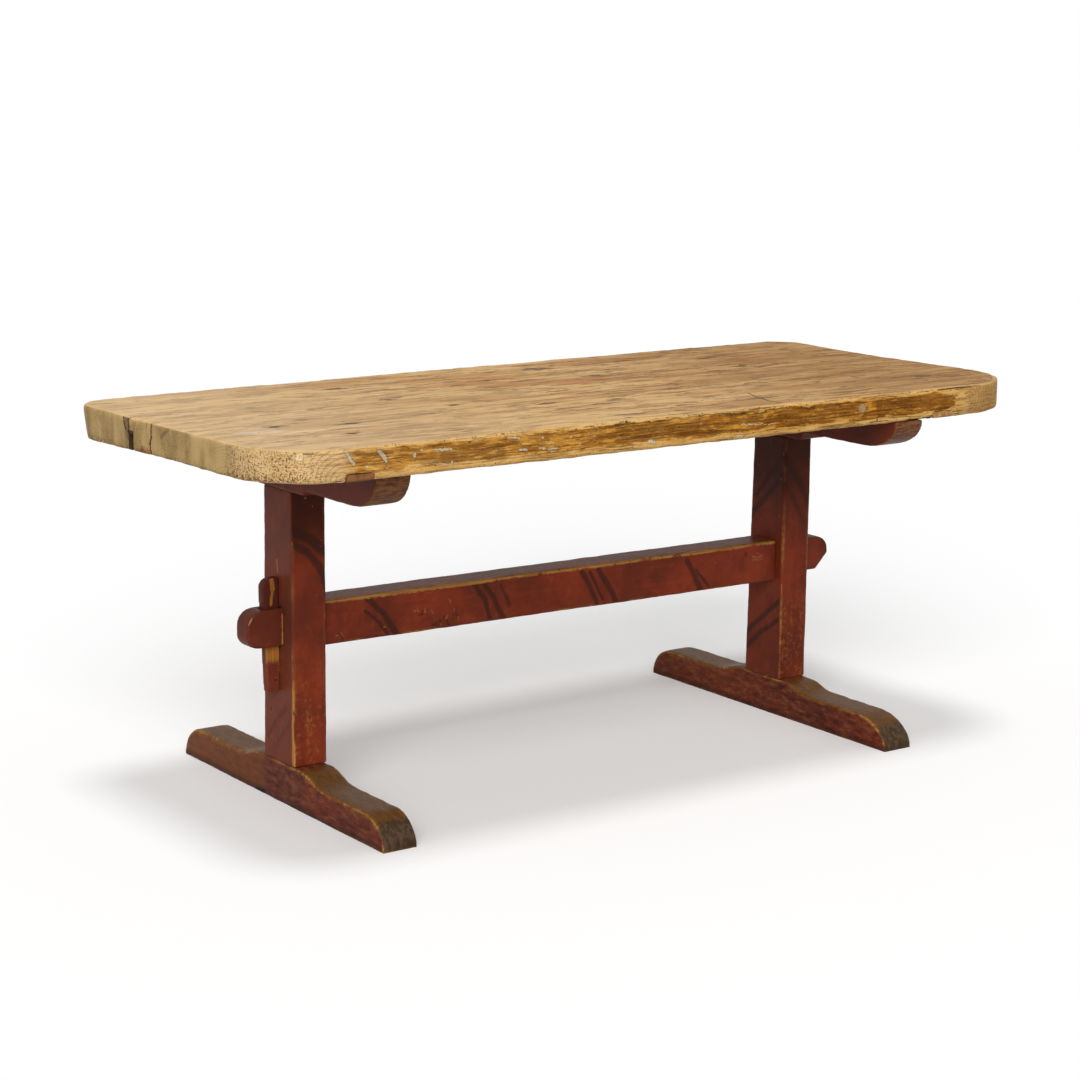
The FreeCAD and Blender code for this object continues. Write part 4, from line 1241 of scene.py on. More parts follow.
def post_extra(outward):
    """Painted shade high up under the top, and front and back rubbed lighter low down."""
    def dress(f, coat, cloud, brush, grit):
        broad = f.fade(f.size(f.facing_y), 0.4, 0.8)
        inward = f.fade(f.times(f.facing_x, -outward), 0.4, 0.8)
        # Painted shade: faces high up under the top are darkened where the top shades them
        level = f.math("MULTIPLY_ADD", cloud, 0.08, f.z)
        painted_shade = f.times(f.fade(level, 0.495, 0.605), f.most(broad, inward))
        coat = f.mix(f.times(painted_shade, 0.84), coat, tone(46, 21, 11))
        low = f.times(f.fade(f.z, 0.34, 0.14), broad)
        speckle = f.fade(f.math("MULTIPLY_ADD", grit, 0.9, f.times(brush, 0.5)), 0.70, 0.92)
        coat = f.mix(f.times(low, speckle, 0.66), coat, tone(150, 90, 46))
        return f.mix(0.16, coat, tone(62, 26, 12)) if outward > 0 else coat
    return dress


def stretcher_extra(f, coat, cloud, brush, grit):
    """Rubbed brown top of the stretcher, knots in its front and duller paint on its tenons."""
    top = f.fade(f.facing_z, 0.5, 0.85)
    rubbed = f.mix(f.fade(brush, 0.36, 0.64), tone(122, 84, 56), tone(92, 56, 38))
    coat = f.mix(f.times(top, 0.55), coat, rubbed)
    front = f.fade(f.facing_y, -0.55, -0.80)
    on_front = f.vector("MULTIPLY", f.swayed((170, 170, 170), 3.0, 0.6, 23.0, 0.011), ON_Y_FACE)
    rough = f.math("SUBTRACT", grit, 0.5)
    for marks, colour, weight in ((STRETCHER_PITS, tone(44, 30, 20), 0.74),
                                  (STRETCHER_RIDGES, tone(156, 96, 70), 0.56)):
        depth = f.broken(f.strokes(on_front, laid(marks, "y", KNOT_SPREAD)), rough, 2.0)
        coat = f.mix(f.times(f.fade(depth, 0.0, 0.85), front, weight), coat, colour)
    tenons = f.most(f.fade(f.x, -0.672, -0.680), f.fade(f.x, 0.594, 0.602))
    dull = f.mix(f.fade(cloud, 0.38, 0.62), tone(110, 50, 36), tone(84, 38, 28))
    return f.mix(f.times(tenons, 0.55), coat, dull)


def wedge_extra(f, coat, cloud, brush, grit):
    """Dirty plum paint all over a wedge."""
    return f.mix(0.60, coat, f.mix(f.fade(cloud, 0.40, 0.62), tone(100, 46, 36), tone(66, 32, 27)))


# Shapes of the base
def bezier(points, share):
    """Point at a share of a cubic curve."""
    a, b, c, d = [Vector(point) for point in points]
    rest = 1 - share
    return a * rest ** 3 + b * 3 * rest ** 2 * share + c * 3 * rest * share ** 2 + d * share ** 3


ROUND_SHARE = 0.5523
CURVE_STEPS = 9


def ogee(start, end):
    """Places along an S curve that leaves and arrives level."""
    middle = (start[0] + end[0]) / 2
    poles = (start, (middle, start[1]), (middle, end[1]), end)
    return [bezier(poles, step / CURVE_STEPS) for step in range(CURVE_STEPS + 1)]


def quarter(start, end):
    """Places along a quarter round that leaves level and arrives upright."""
    corner = (end[0], start[1])
    poles = (start, (start[0] + (corner[0] - start[0]) * ROUND_SHARE, start[1]),
             (end[0], end[1] + (corner[1] - end[1]) * ROUND_SHARE), end)
    return [bezier(poles, step / CURVE_STEPS) for step in range(CURVE_STEPS + 1)]


def shape_columns(piece, places, level):
    """Cuts a block across at each place and moves what stood at the level there to the place's own level."""
    open_mesh(piece)
    low = min(vertex.co.y for vertex in piece.data.vertices)
    high = max(vertex.co.y for vertex in piece.data.vertices)
    for y, _ in places:
        if low + NEAR < y < high - NEAR:
            slice_at((0, y, 0), (0, 1, 0))
    for y, z in places:
        move(lambda v: abs(v.co.y - y) < NEAR and abs(v.co.z - level) < NEAR, (0, 0, z - level))
    close_mesh()


def mortise(side, low, high):
    """Block that cuts a post tenon's mortise."""
    middle = (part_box(side + "_post")[0].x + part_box(side + "_post")[1].x) / 2
    return block("mortise", (middle - POST_TENON_HALF_THICKNESS, -POST_TENON_HALF_WIDTH, low),
                 (middle + POST_TENON_HALF_THICKNESS, POST_TENON_HALF_WIDTH, high))


# Toes and noses end a little short of their block, and a foot's upper arrises start above its sole
TIP_LIFT = 0.0015
SOLE_SLACK = 0.0012
FOOT_ARRIS = 0.005
FOOT_ARRIS_FROM = 0.012

# Size of the even faces, and how much calmer than a foot's the faces of other pieces are
PIECE_GRAIN = 0.003
WEDGE_GRAIN = 0.002
TOP_GRAIN = 0.004
BEARER_CALM = 0.7
RAIL_CALM = 0.8
SMALL_WAVE = 0.0004


def half_foot_places(tip, arm, toe, seat_level):
    """Levels along one half of a foot, from its seat to its toe."""
    way = math.copysign(1, tip)
    seat = way * SEAT_REACH
    run = way * (SEAT_REACH + OGEE_RUN)
    places = ogee((seat, seat_level), (run, arm))
    places += quarter((tip - way * toe, arm), (tip, TIP_LIFT))
    return [(place.x, place.y) for place in places]


def stand_flat(foot):
    """Flattens a foot's worn sole onto the floor."""
    open_mesh(foot)
    pick("VERT", lambda v: v.co.z < SOLE_SLACK)
    bpy.ops.transform.resize(value=(1, 1, 0), center_override=(0, 0, 0))
    close_mesh()


def make_foot(side):
    """Foot with a raised seat, hollowed shoulders, rounded toes and the post's mortise."""
    sizes = TRESTLES[side]
    low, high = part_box(side + "_foot")
    foot = block(side + "_sled_foot", low, high)
    places = half_foot_places(low.y, sizes["front_arm"], sizes["front_toe"], high.z)
    places += half_foot_places(high.y, BACK_ARM, BACK_TOE, high.z)
    shape_columns(foot, places, high.z)
    open_mesh(foot)
    bevel(lambda e: is_upper_arris(e, low, high), FOOT_ARRIS, ARRIS_SEGMENTS)
    close_mesh()
    cut(foot, mortise(side, low.z - CUTTER_SPARE, high.z + CUTTER_SPARE))
    age(foot, PIECE_GRAIN, bpy.context.scene.trestle_table_base.wave, rounds=3, nibble=0.0030)
    stand_flat(foot)
    return foot


def is_upper_arris(edge, low, high):
    """Whether an edge runs along the top of a foot, beside one of its upright faces."""
    place = edge_middle(edge)
    outside = min(abs(place.x - low.x), abs(place.x - high.x)) < NEAR
    return outside and place.z > FOOT_ARRIS_FROM and abs(edge_run(edge).y) > NEAR


def half_bearer_places(tip, nose, arm_depth):
    """Levels along the underside of one half of a bearer."""
    way = math.copysign(1, tip)
    pad = way * PAD_REACH
    arm = UNDERSIDE - arm_depth
    places = ogee((pad, UNDERSIDE - PAD_DEPTH), (pad + way * STEP_RUN, arm))
    places += quarter((tip - way * nose, arm), (tip, UNDERSIDE - TIP_LIFT))
    return [(place.x, place.y) for place in places]


def make_bearer(side):
    """Bearer with a deeper pad on the post, rounded noses and the post's mortise."""
    sizes = TRESTLES[side]
    low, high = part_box(side + "_bearer")
    bearer = block(side + "_top_bearer", low, high)
    places = half_bearer_places(low.y, sizes["nose"], sizes["arm_depth"])
    places += half_bearer_places(high.y, sizes["nose"], sizes["arm_depth"])
    shape_columns(bearer, places, low.z)
    cut(bearer, mortise(side, low.z - CUTTER_SPARE, high.z + CUTTER_SPARE))
    age(bearer, PIECE_GRAIN, bpy.context.scene.trestle_table_base.wave * BEARER_CALM, nibble=0.0020)
    return bearer


def make_post(side):
    """Post with a tapered back, a tenon at each end and the stretcher's mortise."""
    low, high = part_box(side + "_post")
    foot_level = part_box(side + "_foot")[1].z
    pad_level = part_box(side + "_bearer")[0].z
    middle = (low.x + high.x) / 2
    post = block(side + "_trestle_post", (low.x, low.y, foot_level), (high.x, high.y, pad_level))
    open_mesh(post)
    move(lambda v: v.co.y > 0 and v.co.z > pad_level - NEAR, (0, -POST_BACK_TAPER, 0))
    bevel(lambda e: along_axis(e, 2), POST_ARRIS)
    for way in (-1, 1):
        slice_at((middle + way * POST_TENON_HALF_THICKNESS, 0, 0), (1, 0, 0))
        slice_at((0, way * POST_TENON_HALF_WIDTH, 0), (0, 1, 0))
    ends = ((foot_level, POST_TENON_RECESS), (pad_level, UNDERSIDE - POST_TENON_RECESS))
    for level, reach in ends:
        pick("FACE", lambda face: is_tenon_root(face, middle, level))
        bpy.ops.mesh.extrude_region_move(TRANSFORM_OT_translate={"value": (0, 0, reach - level)})
    close_mesh()
    tenon_low = tenon_bottom(side)
    through = block("through_mortise", (low.x - CUTTER_SPARE, -TENON_HALF_THICKNESS, tenon_low),
                    (high.x + CUTTER_SPARE, TENON_HALF_THICKNESS, tenon_low + TENON_HEIGHT))
    cut(post, through)
    age(post, PIECE_GRAIN, bpy.context.scene.trestle_table_base.wave)
    return post


def is_tenon_root(face, middle, level):
    place = face.calc_center_median()
    inside = abs(place.x - middle) < POST_TENON_HALF_THICKNESS and abs(place.y) < POST_TENON_HALF_WIDTH
    return inside and abs(place.z - level) < NEAR


def tenon_bottom(side):
    """Level of the underside of the stretcher's tenon."""
    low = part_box("stretcher")[0].z if side == "right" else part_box("stretcher")[0].z + STRETCHER_FALL
    return low + (STRETCHER_HEIGHT - TENON_HEIGHT) / 2


def outer_face(side):
    low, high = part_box(side + "_post")
    return low.x if side == "left" else high.x


def inner_face(side):
    low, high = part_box(side + "_post")
    return high.x if side == "left" else low.x


def wedge_outer(side, level, spare):
    """Where the sloping outer face of a tusk wedge stands at a level."""
    low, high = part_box(side + "_tusk_wedge")
    share = (level - low.z) / (high.z - low.z)
    width = WEDGE_FOOT + (WEDGE_HEAD - WEDGE_FOOT) * share
    return outer_face(side) + TRESTLES[side]["outward"] * (SLOT_SPARE + width + spare)


def wedge_slot(side):
    """Block that cuts the slot for a tusk wedge through a tenon."""
    outward = TRESTLES[side]["outward"]
    low = tenon_bottom(side) - SLOT_OVER
    high = low + TENON_HEIGHT + 2 * SLOT_OVER
    inside = outer_face(side) - outward * SLOT_RELIEF
    outside = wedge_outer(side, high, SLOT_SPARE)
    left, right = sorted((inside, outside))
    slot = block("wedge_slot", (left, -SLOT_HALF, low), (right, SLOT_HALF, high))
    narrower = wedge_outer(side, low, SLOT_SPARE) - outside
    open_mesh(slot)
    move(lambda v: abs(v.co.x - outside) < NEAR and v.co.z < low + NEAR, (narrower, 0, 0))
    close_mesh()
    return slot


def make_stretcher():
    """Rail with a through tenon at each end, each with rounded corners and a wedge slot."""
    low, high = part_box("stretcher")
    left = inner_face("left")
    right = inner_face("right")
    rail_bottom = tenon_bottom("left") - (STRETCHER_HEIGHT - TENON_HEIGHT) / 2
    rail_top = rail_bottom + STRETCHER_HEIGHT
    rail = block("tie_stretcher", (left, low.y, rail_bottom), (right, high.y, rail_top))
    open_mesh(rail)
    bevel(lambda e: along_axis(e, 0), STRETCHER_ARRIS)
    for way in (-1, 1):
        slice_at((0, way * TENON_HALF_THICKNESS, 0), (0, 1, 0))
        slice_at((0, 0, (rail_bottom + rail_top) / 2 + way * TENON_HEIGHT / 2), (0, 0, 1))
    for side, shoulder, tip in (("left", left, low.x), ("right", right, high.x)):
        pick("FACE", lambda face: is_tenon_face(face, shoulder, (rail_bottom + rail_top) / 2))
        bpy.ops.mesh.extrude_region_move(TRANSFORM_OT_translate={"value": (tip - shoulder, 0, 0)})
    move(lambda v: v.co.x > right - NEAR, (0, 0, -STRETCHER_FALL))
    for side, tip in (("left", low.x), ("right", high.x)):
        bottom = tenon_bottom(side)
        top = bottom + TENON_HEIGHT
        bevel(lambda e: is_tip_edge(e, tip, top), TENON_HEIGHT * UPPER_SHARE, ROUND_SEGMENTS)
        segments = ROUND_SEGMENTS if side == "left" else 1
        bevel(lambda e: is_tip_edge(e, tip, bottom), TENON_HEIGHT * TRESTLES[side]["lower_share"], segments)
    close_mesh()
    for side in TRESTLES:
        cut(rail, wedge_slot(side))
    age(rail, PIECE_GRAIN, bpy.context.scene.trestle_table_base.wave * RAIL_CALM)
    return rail


def is_tenon_face(face, shoulder, level):
    place = face.calc_center_median()
    inside = abs(place.y) < TENON_HALF_THICKNESS and abs(place.z - level) < TENON_HEIGHT / 2
    return inside and abs(place.x - shoulder) < NEAR


def is_tip_edge(edge, tip, level):
    place = edge_middle(edge)
    return along_axis(edge, 1) and abs(place.x - tip) < NEAR and abs(place.z - level) < NEAR


def make_wedge(side):
    """Tapered wedge with its straight face by the post and its outer top corner rounded."""
    outward = TRESTLES[side]["outward"]
    low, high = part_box(side + "_tusk_wedge")
    wedge = block(side + "_tusk", low, high)
    outside = low.x if outward < 0 else high.x
    open_mesh(wedge)
    narrower = outward * (WEDGE_FOOT - WEDGE_HEAD)
    move(lambda v: abs(v.co.x - outside) < NEAR and v.co.z < low.z + NEAR, (narrower, 0, 0))
    bevel(lambda e: is_tip_edge(e, outside, high.z), WEDGE_HEAD_ROUND, ROUND_SEGMENTS)
    close_mesh()
    age(wedge, WEDGE_GRAIN, SMALL_WAVE, nibble=0.0010)
    return wedge


# Shapes of the top
def corner_test(x, y):
    """Test for the upright edge at a corner of the top."""
    def is_corner(edge):
        place = edge_middle(edge)
        return along_axis(edge, 2) and abs(place.x - x) < NEAR and abs(place.y - y) < NEAR
    return is_corner


def is_rim(edge):
    """Whether an edge runs round the upper or lower face of the top."""
    first, second = edge.verts
    level = abs(first.co.z - second.co.z) < NEAR
    return level and edge.calc_face_angle(0) > SHARP


def top_slab(settings):
    """The whole top before it is divided into boards."""
    slab = block("top_slab", (-HALF_LENGTH, FRONT_EDGE, UNDERSIDE), (HALF_LENGTH, BACK_EDGE, TABLE_TOP))
    narrow_back = BACK_EDGE - BACK_TAPER
    open_mesh(slab)
    move(lambda v: v.co.y < 0, (HALF_LEAN, 0, 0))
    move(lambda v: v.co.y > 0, (-HALF_LEAN, 0, 0))
    move(lambda v: v.co.y > 0 and v.co.x < 0, (TAPER_LEAN, -BACK_TAPER, 0))
    slice_at((0, KNEE, 0), (0, 1, 0))
    move(lambda v: v.co.x > 0 and abs(v.co.y - KNEE) < NEAR, (-KNEE_DEPTH, 0, 0))
    lean = 2 * HALF_LEAN / (BACK_EDGE - FRONT_EDGE)
    corners = (
        (-HALF_LENGTH + HALF_LEAN, FRONT_EDGE, CORNER_ROUNDS["front_left"]),
        (HALF_LENGTH + HALF_LEAN, FRONT_EDGE, CORNER_ROUNDS["front_right"]),
        (HALF_LENGTH - HALF_LEAN, BACK_EDGE, CORNER_ROUNDS["back_right"]),
        (-HALF_LENGTH - HALF_LEAN + TAPER_LEAN, narrow_back, CORNER_ROUNDS["back_left"]),
        (HALF_LENGTH - lean * KNEE - KNEE_DEPTH, KNEE, KNEE_ROUND),
    )
    for x, y, radius in corners:
        bevel(corner_test(x, y), radius, CORNER_SEGMENTS)
    bevel(is_rim, settings.arris, ARRIS_SEGMENTS)
    close_mesh()
    return slab


def key_bar(name, side, front, back):
    """Dovetailed bar across the underside, wider above than below."""
    low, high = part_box(side + "_top_key")
    bar = block(name, (low.x, front, low.z), (high.x, back, high.z))
    middle = (low.x + high.x) / 2
    open_mesh(bar)
    move(lambda v: v.co.z < low.z + NEAR and v.co.x < middle, (KEY_FLARE, 0, 0))
    move(lambda v: v.co.z < low.z + NEAR and v.co.x > middle, (-KEY_FLARE, 0, 0))
    close_mesh()
    return bar


def end_notch():
    """Wedge of missing wood under the left end, beside the back seam."""
    end = -HALF_LENGTH - HALF_LEAN
    bottom = UNDERSIDE - HEAVY_END - CUTTER_SPARE
    notch = block("notch", (end - NOTCH_PAST_END, BACK_SEAM - NOTCH_WIDTH, bottom),
                  (end + NOTCH_DEPTH, BACK_SEAM + NOTCH_PAST_SEAM, UNDERSIDE + NOTCH_HEIGHT))
    open_mesh(notch)
    move(lambda v: v.co.x > end and v.co.y < BACK_SEAM - NEAR, (0, NOTCH_WIDTH * NOTCH_NARROWS, 0))
    move(lambda v: v.co.x > end and v.co.z > UNDERSIDE, (0, 0, -NOTCH_HEIGHT * NOTCH_FALLS))
    close_mesh()
    return notch


# Chips knocked off the left end's upper arris and the front edge's lower one: two corners and a turn about X
END_CHIP = ((-0.940, 0.052, TABLE_TOP - 0.004), (-0.910, 0.118, TABLE_TOP + 0.010), 0.05)
EDGE_CHIP = ((0.556, FRONT_EDGE - 0.014, UNDERSIDE - 0.012),
             (0.618, FRONT_EDGE + 0.012, UNDERSIDE + 0.005), 0.35)


def chip(low, high, turn):
    """Small turned block that knocks a chip off an arris."""
    splinter = block("chip", low, high)
    open_mesh(splinter)
    bpy.ops.mesh.select_all(action="SELECT")
    bpy.ops.transform.rotate(value=turn, orient_axis="X", center_override=(Vector(low) + Vector(high)) / 2)
    close_mesh()
    return splinter


def top_cutters():
    """Everything that is cut out of the slab, as one object."""
    parts = [chip(*END_CHIP)]
    for side in TRESTLES:
        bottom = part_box(side + "_top_key")[0].z
        bar = key_bar("key_slot", side, FRONT_EDGE - CUTTER_SPARE, BACK_EDGE + CUTTER_SPARE)
        open_mesh(bar)
        move(lambda v: v.co.z < bottom + NEAR, (0, 0, -KEY_SLOT_DROP))
        close_mesh()
        parts.append(bar)
        pins_low, pins_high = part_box(side + "_top_pins")
        inset = PIN_HOLE / 2 - PIN_SLACK
        middle_x = (pins_low.x + pins_high.x) / 2
        for y in (pins_low.y + inset, pins_high.y - inset):
            place = (middle_x, y, UNDERSIDE + PIN_HOLE_DEPTH / 2 - CUTTER_SPARE / 2)
            parts.append(round_bar("pin_hole", place, PIN_HOLE, PIN_HOLE_DEPTH + CUTTER_SPARE))
    return joined(parts)


def ramp(value, start, end):
    """0 at start, 1 at end, straight between and level beyond."""
    return min(1, max(0, (value - start) / (end - start)))


def ease(piece, name, axis, by, share):
    """Moves a piece's vertices along an axis, each by its share of the distance."""
    group = piece.vertex_groups.new(name=name)
    for vertex in piece.data.vertices:
        weight = share(vertex.co)
        if weight > 0:
            group.add([vertex.index], weight, "REPLACE")
    modifier = piece.modifiers.new(name, "DISPLACE")
    modifier.direction = axis
    modifier.mid_level = 0
    modifier.strength = by
    modifier.vertex_group = name
    apply(piece, modifier)


# The left end is thicker towards the back, and sawn under there
HEAVY_END = 0.0075
UNDERCUT = 0.007


def heavy_share(place):
    """How much of the extra thickness a point gets: most low down at the back of the left end."""
    along = ramp(place.x, -0.79, -0.87)
    back = ramp(place.y, 0.00, 0.30)
    return along * back * ramp(place.z, TABLE_TOP - 0.010, UNDERSIDE + 0.010)


def undercut_share(place):
    """How much of the undercut a point gets: most low down at the back of the left end."""
    along = ramp(place.x, -0.82, -0.90)
    back = ramp(place.y, 0.10, 0.30)
    return along * back * ramp(place.z, TABLE_TOP - 0.008, UNDERSIDE)


# Seams that have opened at the left end: how far each side has drawn back, and how far along it fades away
OPEN_SEAMS = {"middle": 0.0005, "back": 0.0007}
OPEN_REACH = 0.13
BESIDE_SEAM = 0.002
BESIDE_END = 0.012


def draw_back(board, seam, by):
    """Opens a seam at the left end of one board, fading away along it."""
    open_mesh(board)
    pick("VERT", lambda v: abs(v.co.y - seam) < BESIDE_SEAM and v.co.x < -HALF_LENGTH + BESIDE_END)
    bpy.ops.transform.translate(
        value=(0, by, 0), use_proportional_edit=True, proportional_edit_falloff="SMOOTH",
        proportional_size=OPEN_REACH)
    close_mesh()


def split_board(slab, name, front, back):
    """Copy of the slab between two seams; None stands for the outer edge."""
    only(slab)
    bpy.ops.object.duplicate()
    board = bpy.context.object
    board.name = name
    board.data.name = name
    open_mesh(board)
    if front is not None:
        slice_at((0, front, 0), (0, 1, 0), fill=True, drop_before=True)
    if back is not None:
        slice_at((0, back, 0), (0, 1, 0), fill=True, drop_after=True)
    close_mesh()
    return board


# Finish of each board: seed, place of the pith as (y, z), spacing of the rings and share of grey patches
BOARD_FINISHES = {
    "top_board_front": (0.0, (-0.250, 0.590), 0.0060, 0.4),
    "top_board_front_middle": (3.1, (-0.060, 0.585), 0.0052, 0.7),
    "top_board_back_middle": (6.4, (0.100, 0.850), 0.0046, 0.9),
    "top_board_back": (9.7, (0.290, 0.610), 0.0058, 0.6),
}
SEEN_PAST_SEAM = 0.02
SMOOTH_ANGLE = math.radians(42)


class TABLE_OT_top_boards(bpy.types.Operator):
    """Four planks of the top, cut from one worn slab so that their faces run through"""
    bl_idname = "trestle_table.top_boards"
    bl_label = "Top boards"

    def execute(self, context):
        settings = context.scene.trestle_table_top
        slab = top_slab(settings)
        cut(slab, top_cutters())
        age(slab, TOP_GRAIN, settings.wave, nibble=0.0034)
        ease(slab, "heavy_end", "Z", -HEAVY_END, heavy_share)
        ease(slab, "undercut", "X", UNDERCUT, undercut_share)
        half = settings.seam / 2
        seams = (None, FRONT_SEAM, MIDDLE_SEAM, BACK_SEAM, None)
        boards = []
        for number, node in enumerate(BOARDS):
            front = seams[number] + half if seams[number] else None
            back = seams[number + 1] - half if seams[number + 1] else None
            boards.append(split_board(slab, node.replace("top_board", "plank"), front, back))
        bpy.data.objects.remove(slab)
        cut(boards[2], end_notch())
        cut(boards[0], chip(*EDGE_CHIP))
        draw_back(boards[1], MIDDLE_SEAM, -OPEN_SEAMS["middle"])
        draw_back(boards[2], MIDDLE_SEAM, OPEN_SEAMS["middle"])
        draw_back(boards[2], BACK_SEAM, -OPEN_SEAMS["back"])
        draw_back(boards[3], BACK_SEAM, OPEN_SEAMS["back"])
        for number, (board, node) in enumerate(zip(boards, BOARDS)):
            seed, pith, spacing, tint = BOARD_FINISHES[node]
            low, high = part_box(node)
            knots = [knot for knot in KNOTS if low.y - SEEN_PAST_SEAM < knot[1] < high.y + SEEN_PAST_SEAM]
            finish = scrubbed_pine("scrubbed_" + board.name, seed, pith, spacing, tint, number == 0, knots)
            hand_over(board, "top", [node], finish)
            only(board)
            bpy.ops.object.shade_smooth_by_angle(angle=SMOOTH_ANGLE)
        return {"FINISHED"}


class TABLE_OT_top_keys(bpy.types.Operator):
    """Two sliding-dovetail keys that hold the planks flat"""
    bl_idname = "trestle_table.top_keys"
    bl_label = "Top keys"

    def execute(self, context):
        arris = context.scene.trestle_table_top.arris
        finish = key_pine()
        for side in TRESTLES:
            node = side + "_top_key"
            low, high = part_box(node)
            bar = key_bar(side + "_dovetail_key", side, low.y, high.y)
            open_mesh(bar)
            bevel(lambda e: along_axis(e, 0) and edge_middle(e).z < low.z + NEAR,
                  arris * KEY_ARRIS_SHARE, ARRIS_SEGMENTS)
            close_mesh()
            age(bar, PIECE_GRAIN, SMALL_WAVE, rounds=1, nibble=0.0006)
            hand_over(bar, "top", [node], finish)
        return {"FINISHED"}


class TABLE_OT_edge_pegs(bpy.types.Operator):
    """Square and round pegs driven into the front edge, their ends following the worn face"""
    bl_idname = "trestle_table.edge_pegs"
    bl_label = "Edge pegs"

    square_half = 0.007
    square_front = -0.3695
    round_diameter = 0.021
    grain = 0.0012
    proud = 0.0008
    reach = 0.06

    def execute(self, context):
        low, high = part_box("edge_pegs")
        deep = high.y
        side = 2 * self.square_half
        square = block("square_peg", (low.x, self.square_front, high.z - side), (low.x + side, deep, high.z))
        radius = self.round_diameter / 2
        middle = (high.x - radius, (low.y + deep) / 2, low.z + radius)
        pin = round_bar("round_peg", middle, self.round_diameter, deep - low.y, (math.pi / 2, 0, 0))
        pegs = joined([square, pin])
        pegs.name = "front_edge_pegs"
        pegs.data.name = pegs.name
        tree = arris_line(pegs)
        even_faces(pegs, self.grain)
        mark_arris(pegs, tree)
        ends = pegs.vertex_groups.new(name="ends")
        for vertex in pegs.data.vertices:
            start = self.square_front if vertex.co.x < 0 else low.y
            if vertex.co.y < start + self.grain:
                ends.add([vertex.index], 1, "REPLACE")
        wrap = pegs.modifiers.new("follow the edge", "SHRINKWRAP")
        wrap.wrap_method = "PROJECT"
        wrap.wrap_mode = "ABOVE_SURFACE"
        wrap.target = bpy.data.objects["plank_front"]
        wrap.use_project_y = True
        wrap.use_positive_direction = True
        wrap.use_negative_direction = True
        wrap.project_limit = self.reach
        wrap.offset = self.proud
        wrap.vertex_group = "ends"
        apply(pegs, wrap)
        hand_over(pegs, "top", ["edge_pegs"], peg_wood())
        return {"FINISHED"}


class TABLE_OT_feet(bpy.types.Operator):
    """Two sled feet with hollowed shoulders and rounded toes"""
    bl_idname = "trestle_table.feet"
    bl_label = "Feet"

    def execute(self, context):
        for side, seed in (("left", 1.0), ("right", 5.0)):
            foot = make_foot(side)
            low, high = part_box(side + "_foot")
            back_brown, chip_shade = (0.6, LEFT_FOOT_CHIP_SHADE) if side == "left" else (0.15, None)
            finish = red_paint(side + "_foot_paint", seed, "y", wear=0.9,
                               extra=foot_extra(low.y, high.y, back_brown, chip_shade))
            hand_over(foot, "base", [side + "_foot"], finish)
        return {"FINISHED"}


class TABLE_OT_posts(bpy.types.Operator):
    """Two tapered posts, tenoned into feet and bearers and mortised for the stretcher"""
    bl_idname = "trestle_table.posts"
    bl_label = "Posts"

    def execute(self, context):
        marks = {
            "left": (LEFT_POST_FRONT, LEFT_POST_SIDE, LEFT_POST_BARE_SIDE, LEFT_POST_WORN, 2.0),
            "right": (RIGHT_POST_FRONT, RIGHT_POST_SIDE, (), RIGHT_POST_WORN, 6.0),
        }
        for side, (front, flank, bare, worn, seed) in marks.items():
            post = make_post(side)
            finish = red_paint(side + "_post_paint", seed, "z", front=front, side=flank, bare_side=bare,
                               worn_lines=worn, wear=0.7, side_sheen=0.45 if side == "left" else 0.12,
                               extra=post_extra(TRESTLES[side]["outward"]))
            hand_over(post, "base", [side + "_post"], finish)
        return {"FINISHED"}


class TABLE_OT_bearers(bpy.types.Operator):
    """Two bearers with rounded noses that carry the top"""
    bl_idname = "trestle_table.bearers"
    bl_label = "Bearers"

    def execute(self, context):
        for side, seed in (("left", 3.0), ("right", 7.0)):
            bearer = make_bearer(side)
            low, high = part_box(side + "_bearer")
            finish = red_paint(side + "_bearer_paint", seed, "y", wear=0.6, extra=bearer_extra(low.y, high.y))
            hand_over(bearer, "base", [side + "_bearer"], finish)
        return {"FINISHED"}


class TABLE_OT_stretcher(bpy.types.Operator):
    """Stretcher that ties the trestles with a through tenon at each end"""
    bl_idname = "trestle_table.stretcher"
    bl_label = "Stretcher"

    def execute(self, context):
        rail = make_stretcher()
        finish = red_paint("stretcher_paint", 4.0, "x", front=STRETCHER_STROKES, worn_lines=STRETCHER_WORN,
                           wear=0.7, extra=stretcher_extra)
        hand_over(rail, "base", ["stretcher"], finish)
        return {"FINISHED"}


class TABLE_OT_tusk_wedges(bpy.types.Operator):
    """Tusk wedges that draw the trestles up to the stretcher's shoulders"""
    bl_idname = "trestle_table.tusk_wedges"
    bl_label = "Tusk wedges"

    def execute(self, context):
        mirror = outer_face("left") + outer_face("right")
        right_bare = []
        for points, width, strength in LEFT_WEDGE_BARE:
            right_bare.append(([(mirror - x, z - STRETCHER_FALL) for x, z in points], width, strength))
        for side, bare, seed in (("left", LEFT_WEDGE_BARE, 8.0), ("right", right_bare, 9.0)):
            wedge = make_wedge(side)
            finish = red_paint(side + "_wedge_paint", seed, "z", bare_front=bare,
                               bare_wood=tone(188, 120, 44), extra=wedge_extra)
            hand_over(wedge, side + "_wedge", [side + "_tusk_wedge"], finish)
        return {"FINISHED"}


class TABLE_OT_inner_joinery(bpy.types.Operator):
    """Clean pine on the dowels, pins and small wedges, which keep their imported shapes"""
    bl_idname = "trestle_table.inner_joinery"
    bl_label = "Inner joinery"

    def execute(self, context):
        finish = raw_pine()
        for name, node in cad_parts.items():
            if name.endswith(("_dowels", "_tenon_wedges", "_top_pins")):
                node.data.materials.clear()
                node.data.materials.append(finish)
        return {"FINISHED"}


# Stage
FLOOR_REACH = 80.0
CAMERA_FLOOR = 0.88
CAMERA_GLOW = 0.15

